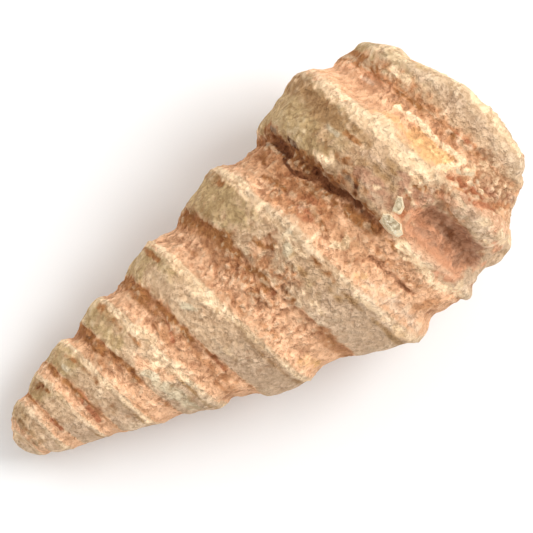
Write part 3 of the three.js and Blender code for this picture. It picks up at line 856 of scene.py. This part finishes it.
paint(
    "cream",
    ([(49.3, 87), (50.1, 87)], 0.3, 0.8), ([(50.6, 118), (51.6, 124), (52.4, 130)], 0.35, 0.8),
    ([(51.0, 96), (51.9, 100), (52.6, 97)], 0.5, 1), ([(52.2, 127), (53.0, 134)], 0.4, 1),
    ([(57.4, 116), (57.4, 121)], 0.5, 0.8),
    ([(58.1, 113), (58.3, 125), (58.3, 142), (59.2, 150), (60.4, 162)], 0.75, 1),
)
wipe("cream", ([(47.3, 80), (48.9, 115)], 0.8, 0.7), ([(47.4, 64), (48.1, 75), (49.2, 82)], 0.7, 1))
paint(
    "shadow",
    ([(52.1, 22), (52.4, 28)], 0.35, 0.7), ([(52.8, 44), (52.7, 53), (53.6, 60)], 0.28, 1),
    ([(53.3, 30), (53.6, 46)], 0.5, 0.9), ([(53.8, 112), (54.6, 128), (55.2, 140)], 0.3, 0.5),
    ([(54.8, 60), (54.6, 69), (55.1, 74), (55.7, 81), (56.3, 89)], 0.34, 1),
)
tell_masks("with the recess:")

# %% [markdown]
# ## Patches on the middle whorls
#
# Here the bands are plainest: tan, with khaki above and a greyer tan below. What breaks them up is the
# crust that has crept over one band's foot, brown and deep salmon, and the notch in the keel above it.

# %% Paint the middle whorls
wipe("khaki", ([(28.6, 42), (29.4, 62)], 1.6, 0.8), ([(42.2, 66), (43.6, 76)], 1.6, 0.7))
paint(
    "khaki",
    ([(42.2, 5), (42.6, 30), (43.2, 56)], 1.8, 0.85), ([(45.0, 104), (45.6, 122)], 1.1, 0.6),
    ([(46.0, 86)], 1.2, 0.6),
)
paint("salmon", ([(31.8, 18), (32.4, 44)], 0.8, 0.8), ([(42.4, 74), (44.2, 76)], 1.4, 0.75))
paint("pale", ([(31.2, 62), (31.6, 70)], 0.8, 0.45))
paint(
    "grey",
    ([(23.8, 119), (24.0, 129)], 0.5, 0.8), ([(30.0, 76), (31.0, 82)], 0.7, 0.7),
    ([(45.6, 85), (47.0, 80)], 1.0, 0.7),
)
wipe("deep", ([(38.6, 110), (39.6, 135), (40.6, 160)], 1.8, 0.8))
paint(
    "deep",
    ([(25.2, 72), (25.3, 90)], 0.6, 0.9), ([(26.0, 80), (26.4, 88)], 0.8, 0.7),
    ([(26.9, 135), (27.2, 149)], 0.55, 0.9), ([(27.2, 100), (27.8, 130), (28.1, 160)], 0.9, 0.8),
    ([(27.5, 58), (27.8, 70)], 0.6, 0.75), ([(35.2, 45), (35.4, 51)], 0.4, 0.8),
    ([(35.4, 80), (36.0, 96)], 0.9, 0.6), ([(36.7, 108), (36.9, 119)], 0.7, 0.7),
    ([(37.6, 66), (39.0, 82), (38.6, 98)], 1.7, 0.65), ([(39.0, 92), (41.2, 96)], 1.2, 0.9),
    ([(39.2, 98), (39.6, 104)], 0.7, 0.8), ([(41.4, 80), (43.0, 88), (43.8, 97)], 1.4, 0.85),
    ([(42.3, 130), (42.5, 145), (43.2, 163)], 1.1, 1),
)
wipe("deep", ([(40.8, 108), (41.9, 116)], 0.8, 0.8), ([(43.0, 85), (43.3, 89)], 0.6, 0.8))
paint("amber", ([(38.4, 146), (39.2, 160)], 1.1, 0.6))
paint(
    "red",
    ([(26.8, 75), (26.4, 83), (25.7, 91)], 0.35, 0.9), ([(28.6, 108), (28.9, 130)], 0.4, 0.7),
    ([(40.5, 98)], 0.5, 0.8),
)
paint(
    "brown",
    ([(25.2, 4), (25.7, 20), (26.0, 36)], 0.9, 0.95), ([(25.4, 46), (25.9, 60), (26.3, 75)], 0.7, 0.6),
    ([(27.2, 55), (27.5, 68)], 0.4, 0.7), ([(30.3, 8), (30.5, 26), (31.0, 39)], 0.55, 1),
    ([(31.2, 43)], 0.4, 0.6), ([(36.8, 4), (37.8, 25), (38.6, 40), (39.4, 52), (40.0, 60)], 1.1, 0.95),
    ([(38.5, 91), (39.6, 94), (41.4, 95)], 0.55, 0.75), ([(39.4, 62), (40.2, 72), (40.2, 80)], 0.9, 0.7),
    ([(40.2, 71), (41.2, 74)], 0.5, 0.55), ([(41.6, 101), (42.1, 106)], 0.5, 0.75),
    ([(43.1, 70), (43.2, 76), (44.5, 79)], 0.6, 0.85), ([(43.6, 4), (43.9, 16), (44.1, 30)], 0.8, 0.9),
    ([(44.6, 76), (44.9, 72)], 0.5, 0.7), ([(47.6, 93), (47.9, 108)], 0.5, 0.55),
    ([(47.7, 96), (47.9, 106)], 0.6, 0.7),
)
paint(
    "umber",
    ([(38.7, 16), (38.9, 24)], 0.5, 0.9), ([(43.8, 6), (44.0, 22)], 0.7, 0.9),
    ([(45.0, 92), (45.4, 98)], 0.5, 0.8), ([(46.8, 107), (47.0, 118)], 0.6, 0.7),
)
paint(
    "cream",
    ([(22.6, 68), (23.1, 76), (23.4, 82)], 0.9, 1), ([(28.6, 42), (29.0, 52)], 0.8, 0.5),
    ([(30.6, 112), (30.9, 124)], 0.6, 0.5), ([(31.6, 62), (32.6, 78), (33.2, 92)], 0.9, 0.55),
    ([(43.6, 102), (44.0, 120)], 0.6, 0.5), ([(44.8, 80), (46.6, 79), (47.6, 86)], 0.9, 0.6),
    ([(46.6, 86), (46.9, 91)], 0.5, 0.7),
)
wipe(
    "cream",
    ([(32.2, 66), (32.6, 70)], 0.4, 0.8), ([(43.8, 6), (44.0, 24)], 0.6, 0.9),
    ([(47.8, 97), (47.8, 105)], 0.5, 0.8),
)
tell_masks("with the middle whorls:")

# %% [markdown]
# ## Patches on the small whorls and the tip
#
# Towards the tip the whorls are narrow, so the strokes get thinner too. A red line marks one furrow, a
# pale grey-green patch lies across a lower band, and two dark pits sit beside the worn tip.

# %% Paint the small whorls and the tip
paint("khaki", ([(18.6, 10), (18.8, 40), (19.4, 68)], 1.4, 0.85), ([(22.0, 120), (22.6, 150)], 1.6, 0.6))
wipe("lavender", ([(21.4, 112), (22.4, 140)], 2.0, 0.5))
paint("lavender", ([(24.1, 138), (24.6, 154)], 0.7, 0.9))
paint("salmon", ([(20.6, 92), (22.4, 112)], 1.6, 0.7))
wipe("salmon", ([(3.4, 30), (4.4, 60)], 1.0, 0.5))
paint(
    "grey",
    ([(11.6, 48), (12.0, 62)], 0.5, 0.7), ([(20.2, 101), (20.7, 108)], 0.7, 1),
    ([(20.6, 112), (22.4, 150)], 1.1, 0.75),
)
wipe("deep", ([(16.6, 92), (17.6, 110), (18.2, 140)], 1.3, 0.8))
paint(
    "deep",
    ([(10.4, 62), (10.9, 85), (11.1, 105), (11.4, 118)], 0.7, 0.9), ([(15.5, 62), (16.0, 77)], 0.7, 0.75),
)
paint(
    "red",
    ([(5.7, 96), (6.1, 116)], 0.35, 0.9), ([(11.1, 82), (10.9, 100), (10.8, 112), (10.8, 126)], 0.45, 1),
)
paint(
    "brown",
    ([(6.9, 26), (7.2, 44)], 0.9, 0.85), ([(7.3, 40), (7.7, 50), (7.9, 60)], 0.35, 0.9),
    ([(9.6, 30), (10.0, 50), (10.3, 62)], 0.35, 0.6),
    ([(12.7, 40), (13.3, 55), (13.8, 70), (14.0, 86)], 0.5, 0.5), ([(13.4, 114), (14.2, 136)], 1.0, 0.4),
    ([(16.4, 4), (16.6, 25), (16.8, 43)], 0.8, 1), ([(16.6, 56), (17.0, 67)], 0.5, 0.9),
    ([(16.7, 50), (17.4, 62), (18.1, 72), (18.6, 82), (19.0, 93)], 0.45, 0.85),
    ([(18.3, 84), (18.6, 93)], 0.4, 0.9), ([(20.6, 24), (20.8, 42), (21.2, 60)], 0.9, 0.55),
    ([(21.6, 66), (21.8, 80)], 0.4, 0.5),
)
paint(
    "umber",
    ([(2.0, 60), (1.8, 120)], 1.2, 0.6), ([(2.6, 40), (2.8, 62)], 1.1, 0.9),
    ([(6.2, 28), (7.6, 44)], 1.0, 0.9), ([(8.6, 68), (8.8, 88)], 0.4, 0.8),
)
paint(
    "cream",
    ([(8.3, 44), (9.0, 64)], 0.4, 0.8), ([(21.6, 38), (21.9, 50)], 0.4, 0.7),
    ([(22.0, 94), (23.4, 108)], 1.3, 0.5),
)
wipe(
    "cream",
    ([(3.6, 20), (4.6, 90), (5.2, 165)], 1.4, 0.8), ([(8.9, 62), (9.2, 100), (9.8, 140)], 0.9, 0.7),
    ([(24.1, 138), (24.6, 154)], 0.6, 0.9),
)
paint(
    "shadow",
    ([(6.7, 34), (6.9, 36)], 0.28, 1), ([(7.4, 38), (7.5, 44)], 0.25, 1),
    ([(16.6, 36), (16.8, 42)], 0.4, 0.5),
)
tell_masks("with the small whorls:")

# %% [markdown]
# ## Where the stone is bleached or stained, and where light is painted
#
# Sun and rain bleach whole stretches of a stone, and damp stains others, without changing their colour
# much. So two more masks only make the mixed colour lighter or darker. They are laid in long strokes that
# follow the coil: mostly bleached on the groove floors and stained along the furrows. Some of the lighter
# strokes are painted light: on the last groove's upper flank, at the white lump and in the spalled hollow
# they lift slopes that lie in shade.

# %% Bleach and stain
# lighter: bleaching, and painted light where slopes of the last groove and the hollow lie in shade
paint(
    "bleached_and_lit",
    ([(3.3, 118), (3.8, 150)], 1.1, 1), ([(9.2, 115), (9.8, 150)], 0.6, 0.9),
    ([(9.4, 45), (10.0, 80), (10.2, 100)], 0.8, 1), ([(12.0, 80), (12.6, 110), (13.6, 150)], 0.7, 0.9),
    ([(12.8, 5), (13.2, 45), (13.9, 78)], 0.6, 0.8), ([(14.1, 5), (14.4, 25), (14.8, 45)], 0.6, 1),
    ([(15.6, 115), (16.1, 140), (16.5, 165)], 0.5, 1), ([(16.4, 96), (17.2, 115), (18.2, 160)], 1.1, 0.9),
    ([(18.5, 50), (19.4, 70), (20.2, 85), (21.1, 112)], 1.2, 1), ([(18.5, 118), (19.4, 150)], 0.8, 0.7),
    ([(20.2, 5), (20.9, 40), (21.9, 78)], 0.6, 0.9), ([(21.6, 85), (22.6, 112)], 0.8, 0.8),
    ([(23.7, 116), (24.0, 134)], 0.8, 0.7), ([(26.4, 82), (27.4, 112), (28.8, 150)], 1.1, 0.8),
    ([(27.0, 38), (27.5, 52)], 0.9, 1), ([(27.0, 50), (28.4, 85), (29.2, 112), (30.1, 155)], 0.9, 0.9),
    ([(31.9, 50), (32.9, 78), (34.0, 100)], 0.6, 0.6), ([(36.7, 118), (38.2, 160)], 1.3, 0.8),
    ([(38.8, 84), (40.2, 115), (41.4, 160)], 1.5, 0.75), ([(40.8, 108), (41.2, 113)], 0.5, 1),
    ([(43.2, 118), (44.8, 160)], 0.7, 0.9), ([(44.9, 34), (46.4, 70)], 0.6, 0.7),
    ([(47.8, 49), (48.3, 64)], 0.6, 0.9), ([(54.8, 118), (56.6, 158)], 0.9, 0.8),
    ([(57.0, 63), (57.2, 66)], 0.5, 1.3), ([(57.0, 95), (58.2, 115), (59.6, 158)], 0.9, 1.5),
    ([(57.9, 140), (58.2, 150)], 0.5, 1), ([(60.3, 138), (60.8, 146)], 0.6, 0.8),
    ([(61.2, 108), (61.8, 116)], 0.7, 0.9), ([(64.5, 5), (65.6, 25), (66.8, 45)], 1.9, 1.1),
    ([(64.8, 92), (65.0, 96)], 0.4, 0.9), ([(65.2, 114), (65.6, 120)], 0.5, 1),
    ([(66.8, 5), (67.8, 25), (68.6, 45)], 1.1, 1.1), ([(67.1, 128), (67.6, 142)], 0.9, 0.9),
    ([(67.5, 50), (69.4, 80), (70.8, 96)], 1.5, 0.7), ([(70.2, 48), (71.4, 76)], 0.8, 0.5),
    ([(70.9, 82), (72.2, 108)], 0.9, 0.7), ([(73.3, 112), (73.7, 126)], 0.7, 0.7),
    ([(73.4, 74), (73.7, 80)], 0.5, 0.8), ([(74.7, 50), (75.1, 66)], 0.7, 0.7),
    ([(75.0, 98), (75.4, 112)], 0.8, 0.9),
)
paint(
    "stained",
    ([(15.2, 8), (15.7, 40), (16.4, 62), (17.0, 78)], 0.7, 0.9), ([(16.4, 118), (16.9, 160)], 0.3, 0.9),
    ([(17.6, 85), (18.0, 108)], 0.5, 0.7), ([(24.2, 5), (24.6, 25), (25.1, 42)], 0.7, 0.9),
    ([(26.2, 120), (27.2, 160)], 0.5, 0.6), ([(31.9, 48), (32.2, 60)], 0.7, 0.6),
    ([(33.9, 118), (35.4, 160)], 0.6, 0.6), ([(34.3, 104), (34.8, 120)], 0.8, 0.7),
    ([(38.0, 2), (38.9, 20), (39.8, 42)], 0.9, 1.1), ([(44.8, 32), (45.3, 44)], 0.6, 0.8),
    ([(47.6, 38), (47.9, 45)], 0.5, 0.8),
    ([(48.4, 5), (49.3, 25), (50.7, 43), (52.0, 62), (52.6, 80)], 1.7, 1.1),
    ([(50.0, 150), (50.8, 160)], 0.7, 0.9), ([(51.6, 85), (53.4, 113)], 1.4, 0.9),
    ([(53.0, 5), (54.4, 40)], 0.9, 1.1), ([(57.2, 77), (57.6, 84), (58.2, 97)], 0.8, 1.1),
    ([(57.8, 55), (59.2, 78)], 1.4, 0.5), ([(58.0, 85), (59.0, 112)], 0.6, 0.7),
    ([(58.4, 50), (58.9, 60)], 0.7, 0.7), ([(58.6, 75), (58.8, 80)], 0.8, 0.9),
    ([(59.9, 114), (60.2, 123)], 0.7, 0.6), ([(60.2, 66), (60.6, 76)], 0.7, 0.6),
    ([(60.4, 96), (60.7, 106)], 0.8, 0.7), ([(61.0, 2), (61.5, 30), (61.9, 52)], 0.9, 0.6),
    ([(62.4, 93), (62.8, 99)], 0.6, 0.6), ([(70.8, 118), (72.5, 150)], 1.2, 0.4), ([(71.1, 77)], 0.6, 0.9),
    ([(73.0, 66), (73.2, 72)], 0.5, 0.8), ([(74.6, 118), (75.6, 150)], 0.8, 0.8),
)
tell_masks("bleached and stained:")

# %% [markdown]
# ## Storing the numbers on the mesh
#
# Blender can keep a number for each vertex as a named attribute, and a material can read it back by that
# name. So the relief, the smoothness and all the masks are stored now. This way needs no picture and no
# unwrapping, and the colours stay with the vertices wherever the piece goes.

# %% Store the masks and the relief on the mesh


def store(piece, name, values):
    """Writes one number for each vertex as a named attribute."""
    attribute = piece.data.attributes.new(name, "FLOAT", "POINT")
    attribute.data.foreach_set("value", values.astype(np.float32))


store(stone, "relief", relief)
store(stone, "smooth", smooth)
for mask_name, mask_values in masks.items():
    store(stone, f"mask_{mask_name}", np.clip(mask_values, 0, 1.2))
print("attributes: relief, smooth and the masks", ", ".join(masks))

# %% [markdown]
# ## The limestone
#
# Weathered limestone is dull and sandy. Its colour is never even: each grain is a little lighter or darker
# than the next, and stains have ragged, grainy edges. The material starts from the tan of the bands and
# lays one colour after another over it, each where its mask, pushed about by noise, rises past a half.
# Next come dirt and painted shade in the hollows and a rubbed tint on the edges, and the bleached and
# stained stretches are multiplied lighter or darker; some of the lighter ones are painted light. Then dabs
# of light and dark grain, a noise cut off flat at both ends, are multiplied over everything, less so where
# the stone is smooth. A bump gives the grain that is finer than the mesh.

# %% Small helpers for material nodes


def linear(red, green, blue):
    """A colour given as the eye reads it, from 0 to 255, in the light values that a shader wants."""
    shades = [value / 255 for value in (red, green, blue)]
    return [v / 12.92 if v <= 0.04045 else ((v + 0.055) / 1.055) ** 2.4 for v in shades] + [1]


class Nodes:
    """A short way to add nodes to one material and wire them up."""

    def __init__(self, name):
        self.material = bpy.data.materials.new(name)
        self.material.use_nodes = True
        self.tree = self.material.node_tree
        self.shader = self.tree.nodes["Principled BSDF"]

    def add(self, kind, inputs=(), **settings):
        """Adds a node, sets its settings, and feeds its inputs with values or with other nodes' outputs."""
        node = self.tree.nodes.new(kind)
        for setting, value in settings.items():
            setattr(node, setting, value)
        for socket, value in dict(inputs).items():
            self.feed(node.inputs[socket], value)
        return node

    def feed(self, socket, value):
        """Sets a socket, or links it when the value is another node's output."""
        if isinstance(value, bpy.types.NodeSocket):
            self.tree.links.new(value, socket)
        else:
            socket.default_value = value

    def math(self, operation, first, second=0.0, third=0.0):
        """The result of a sum on two or three values."""
        node = self.add("ShaderNodeMath", {0: first, 1: second, 2: third}, operation=operation)
        return node.outputs[0]

    def blend(self, factor, below, above, mode="MIX"):
        """One colour over another, by a factor."""
        inputs = {"Factor": factor, 6: below, 7: above}
        node = self.add("ShaderNodeMix", inputs, data_type="RGBA", blend_type=mode)
        return node.outputs[2]

    def ramp(self, value, low, high, to_low=0.0, to_high=1.0):
        """A smooth step of a value from low to high."""
        inputs = {0: value, 1: low, 2: high, 3: to_low, 4: to_high}
        return self.add("ShaderNodeMapRange", inputs, interpolation_type="SMOOTHSTEP").outputs[0]

    def channels(self, place, size, detail=2.0, roughness=0.55, spread=0.22):
        """Three unlike noises, 0 to 1, with lumps this many mm across; a small spread gives plateaus."""
        inputs = {"Vector": place, "Scale": 1 / (size * MM), "Detail": detail, "Roughness": roughness}
        noise_node = self.add("ShaderNodeTexNoise", inputs)
        split = self.add("ShaderNodeSeparateColor", {0: noise_node.outputs["Color"]})
        return [self.ramp(output, 0.5 - spread, 0.5 + spread) for output in split.outputs[:3]]

    def attribute(self, name):
        """A number stored on the mesh."""
        return self.add("ShaderNodeAttribute", attribute_name=name).outputs["Fac"]


BAND_TAN = linear(217, 179, 142)
print("the bands' tan in light values:", [round(value, 2) for value in BAND_TAN[:3]])

# %% Mix the limestone
COLOURS = {  # colour, and how sharp the edge of its patches is
    "khaki": (linear(190, 157, 112), 0.7),
    "lavender": (linear(208, 173, 141), 0.7),
    "salmon": (linear(236, 182, 141), 0.55),
    "pale": (linear(242, 205, 172), 0.6),
    "grey": (linear(217, 193, 159), 0.45),
    "deep": (linear(201, 143, 101), 0.6),
    "amber": (linear(244, 190, 132), 0.6),
    "red": (linear(190, 122, 86), 0.5),
    "brown": (linear(167, 111, 65), 0.55),
    "umber": (linear(174, 134, 92), 0.7),
    "rose": (linear(221, 157, 119), 0.6),
    "mauve": (linear(188, 140, 110), 0.6),
    "cream": (linear(250, 212, 170), 0.5),
    "shadow": (linear(104, 60, 34), 0.5),
}
# red-brown for the hollows: dirt, and painted shade as well
DIRT_AND_SHADE = linear(158, 98, 62)
RUBBED = linear(252, 225, 189)
BLEACH_AND_LIGHT, STAINING = (1.24, 1.26, 1.28, 1), (0.8, 0.73, 0.66, 1)  # the colour is multiplied by these
DARK_GRAIN, LIGHT_GRAIN, NO_GRAIN = (0.68, 0.63, 0.575, 1), (1.3, 1.37, 1.42, 1), (0.97, 1.0, 1.0, 1)
CLOUD_SIZE, BLOT_SIZE, DAB_SIZE, SPECK_SIZE = 3.0, 1.3, 1.05, 0.5  # mm
CLOUD_PUSH, BLOT_PUSH = 0.3, 0.36  # how far each of the two pushes a mask about
GRAIN_DEPTH = 0.3 * MM


def limestone():
    """Sandy limestone, its colours laid over each other by the masks."""
    mix = Nodes("limestone")
    place = mix.add("ShaderNodeTexCoord").outputs["Object"]
    cloud = mix.channels(place, CLOUD_SIZE, 2)
    blot = mix.channels(place, BLOT_SIZE, 1)

    colour = BAND_TAN
    middle = (CLOUD_PUSH + BLOT_PUSH) / 2
    for number, (name, (tint, softness)) in enumerate(COLOURS.items()):
        small = mix.math("MULTIPLY", blot[number % 3], BLOT_PUSH)
        ragged = mix.math("MULTIPLY_ADD", cloud[number % 3], CLOUD_PUSH, small)
        pushed = mix.math("ADD", mix.attribute(f"mask_{name}"), mix.math("SUBTRACT", ragged, middle))
        share = mix.ramp(pushed, 0.5 - softness / 2, 0.5 + softness / 2)
        colour = mix.blend(share, colour, tint)

    relief = mix.attribute("relief")
    # darker red-brown in the hollows, by the relief: dirt, and painted shade
    dirt_and_shade = mix.ramp(relief, -0.05, -0.9, 0.0, 0.5)
    rubbed = mix.ramp(relief, 0.2, 1.0, 0.0, 0.3)
    colour = mix.blend(dirt_and_shade, colour, DIRT_AND_SHADE)
    colour = mix.blend(rubbed, colour, RUBBED)

    # lighter where bleached and where light is painted, darker where stained
    colour = mix.blend(mix.attribute("mask_bleached_and_lit"), colour, BLEACH_AND_LIGHT, "MULTIPLY")
    colour = mix.blend(mix.attribute("mask_stained"), colour, STAINING, "MULTIPLY")

    dabs = mix.channels(place, DAB_SIZE, detail=3, roughness=0.66, spread=0.1)
    specks = mix.channels(place, SPECK_SIZE, detail=1, roughness=0.5, spread=0.1)
    tone = mix.math("MULTIPLY_ADD", dabs[0], 0.66, mix.math("MULTIPLY", specks[1], 0.34))
    tint = mix.blend(tone, DARK_GRAIN, LIGHT_GRAIN)
    graininess = mix.ramp(cloud[1], 0.1, 0.9, 0.5, 1.0)
    grainy = mix.math("MULTIPLY_ADD", mix.attribute("smooth"), -0.45, graininess)
    tint = mix.blend(grainy, NO_GRAIN, tint)
    colour = mix.blend(1.0, colour, tint, "MULTIPLY")

    bumps = mix.math("MULTIPLY_ADD", blot[1], 0.9, mix.math("MULTIPLY", tone, 0.7))
    bump = mix.add("ShaderNodeBump", {"Strength": 1.0, "Distance": GRAIN_DEPTH, "Height": bumps})
    mix.feed(mix.shader.inputs["Base Color"], colour)
    mix.feed(mix.shader.inputs["Roughness"], mix.ramp(tone, 0.2, 0.8, 0.95, 0.8))
    mix.feed(mix.shader.inputs["Normal"], bump.outputs["Normal"])
    mix.shader.inputs["Specular IOR Level"].default_value = 0.2
    return mix.material


stone.data.materials.clear()
stone.data.materials.append(limestone())
bpy.ops.object.select_all(action="DESELECT")
stone.select_set(True)
bpy.context.view_layer.objects.active = stone
bpy.ops.object.shade_smooth()
print("limestone nodes:", len(stone.data.materials[0].node_tree.nodes))

# %% [markdown]
# ## Calcite crystals
#
# Two small calcite crystals sit on the upper end of the spalled hollow. They are cloudy, cream to greyish
# tan, and only a little clear. Their tops are flat and cleaved, and their sides are bruised white, painted
# lighter still as a highlight. Noise would give lumps, so each crystal starts as a cube instead. Leaning
# planes cut it to its outline one after another, as calcite cleaves, and one more cuts the top. Each cut's
# new face is selected, so it takes its calcite at once: white with a painted highlight for the sides,
# clearer for the top. A narrow bevel catches the light.

# %% Define the cuts and the two kinds of calcite
CUBE_SIZE = 4  # mm, larger than either crystal
BEVEL_WIDTH = 0.06 * MM
TOP_TILT = (0.16, -0.12, 1)  # the cleaved top's normal, in the view's directions


def surface_point(at_along, at_around):
    """The point of the stone's surface nearest to that place on the coil."""
    turn = np.radians((around - at_around + 180) % 360 - 180) * radius
    return Vector(moved[np.argmin((along - at_along) ** 2 + turn**2)])


def cut_crystal(name, at_along, at_around, corners, top):
    """A cube cut to this outline, with leaning sides and a cleaved top so many mm up, set in the stone."""
    spot = surface_point(at_along, at_around)
    bpy.ops.object.select_all(action="DESELECT")
    bpy.ops.mesh.primitive_cube_add(size=CUBE_SIZE)
    crystal = bpy.context.object
    crystal.name = name
    crystal.data.materials.append(clear_calcite)
    crystal.data.materials.append(bruised_and_highlit_calcite)
    bpy.ops.object.mode_set(mode="EDIT")
    for (x, y, lean), (next_x, next_y, _) in zip(corners, corners[1:] + corners[:1]):
        outward = Vector((y - next_y, next_x - x, 0)).normalized() + Vector((0, 0, lean))
        bpy.ops.mesh.select_all(action="SELECT")
        bpy.ops.mesh.bisect(plane_co=(x, y, 0), plane_no=outward, use_fill=True, clear_outer=True)
        crystal.active_material_index = 1
        bpy.ops.object.material_slot_assign()
    bpy.ops.mesh.select_all(action="SELECT")
    bpy.ops.mesh.bisect(plane_co=(0, 0, top), plane_no=TOP_TILT, use_fill=True, clear_outer=True)
    crystal.active_material_index = 0
    bpy.ops.object.material_slot_assign()
    bpy.ops.mesh.select_all(action="SELECT")
    bpy.ops.mesh.normals_make_consistent(inside=False)
    bpy.ops.object.mode_set(mode="OBJECT")
    crystal.scale = Vector((MM, MM, MM))
    crystal.rotation_euler = facing(view_right, view_up, OUT)
    crystal.location = spot
    bpy.ops.object.transform_apply(location=True, rotation=True, scale=True)
    apply_modifier(crystal, "BEVEL", width=BEVEL_WIDTH, segments=2, limit_method="ANGLE")
    print(f"{name}: {len(crystal.data.polygons)} faces at", [round(v / MM, 1) for v in spot])
    return crystal


def calcite(name, dark, light, roughness, clearness):
    """Calcite that is cloudy with two colours, more or less clear."""
    mix = Nodes(name)
    cloud = mix.channels(mix.add("ShaderNodeTexCoord").outputs["Object"], 0.6, 2)
    bump = mix.add("ShaderNodeBump", {"Strength": 1.0, "Distance": 0.1 * MM, "Height": cloud[1]})
    mix.feed(mix.shader.inputs["Base Color"], mix.blend(cloud[0], dark, light))
    mix.feed(mix.shader.inputs["Normal"], bump.outputs["Normal"])
    mix.shader.inputs["Roughness"].default_value = roughness
    mix.shader.inputs["IOR"].default_value = 1.6
    mix.shader.inputs["Transmission Weight"].default_value = clearness
    return mix.material


clear_calcite = calcite("clear_calcite", linear(174, 149, 110), linear(246, 228, 190), 0.18, 0.25)
# the sides' white is bruised calcite and a painted highlight
bruised_and_highlit_calcite = calcite("bruised_and_highlit_calcite", linear(250, 226, 182), linear(255, 248, 218), 0.4, 0.05)
print("calcite:", clear_calcite.name, "and", bruised_and_highlit_calcite.name)

# %% Cut the crystals
LOWER_OUTLINE = [  # x and y of each corner in mm, clockwise, and how much the side after it leans
    (-1.16, 1.45, 0.3),
    (-0.29, 1.38, 0.2),
    (1.2, 0.0, 0.3),
    (1.22, -0.85, 0.5),
    (0.3, -1.25, 0.15),
    (-0.43, -0.86, 0.08),
    (-1.4, 0.36, 0.12),
]
UPPER_OUTLINE = [
    (-0.1, 1.23, 0.4),
    (0.62, 1.01, 0.3),
    (0.72, -0.22, 0.4),
    (0.41, -0.94, 0.7),
    (0.04, -1.2, 0.7),
    (-0.78, -0.97, 0.3),
]
crystals = [
    cut_crystal("calcite_crystal_lower", 58.7, 103, LOWER_OUTLINE, top=0.55),
    cut_crystal("calcite_crystal_upper", 60.9, 98, UPPER_OUTLINE, top=0.5),
]

# %% [markdown]
# ## Handing the pieces over
#
# The stone stands for the CAD node, and everything rides on the one body. Both boxes, the CAD model's and
# the finished one, are written down so that they can be compared.

# %% Ride, replace and finish
for piece in [stone, *crystals]:
    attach(piece, "root")
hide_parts("fossil_snail")

finished_box = [list(corner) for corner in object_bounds()]
for label, box in (("CAD", cad_box), ("finished", finished_box)):
    print(label, "box in mm:", [[round(value / MM, 1) for value in corner] for corner in box])
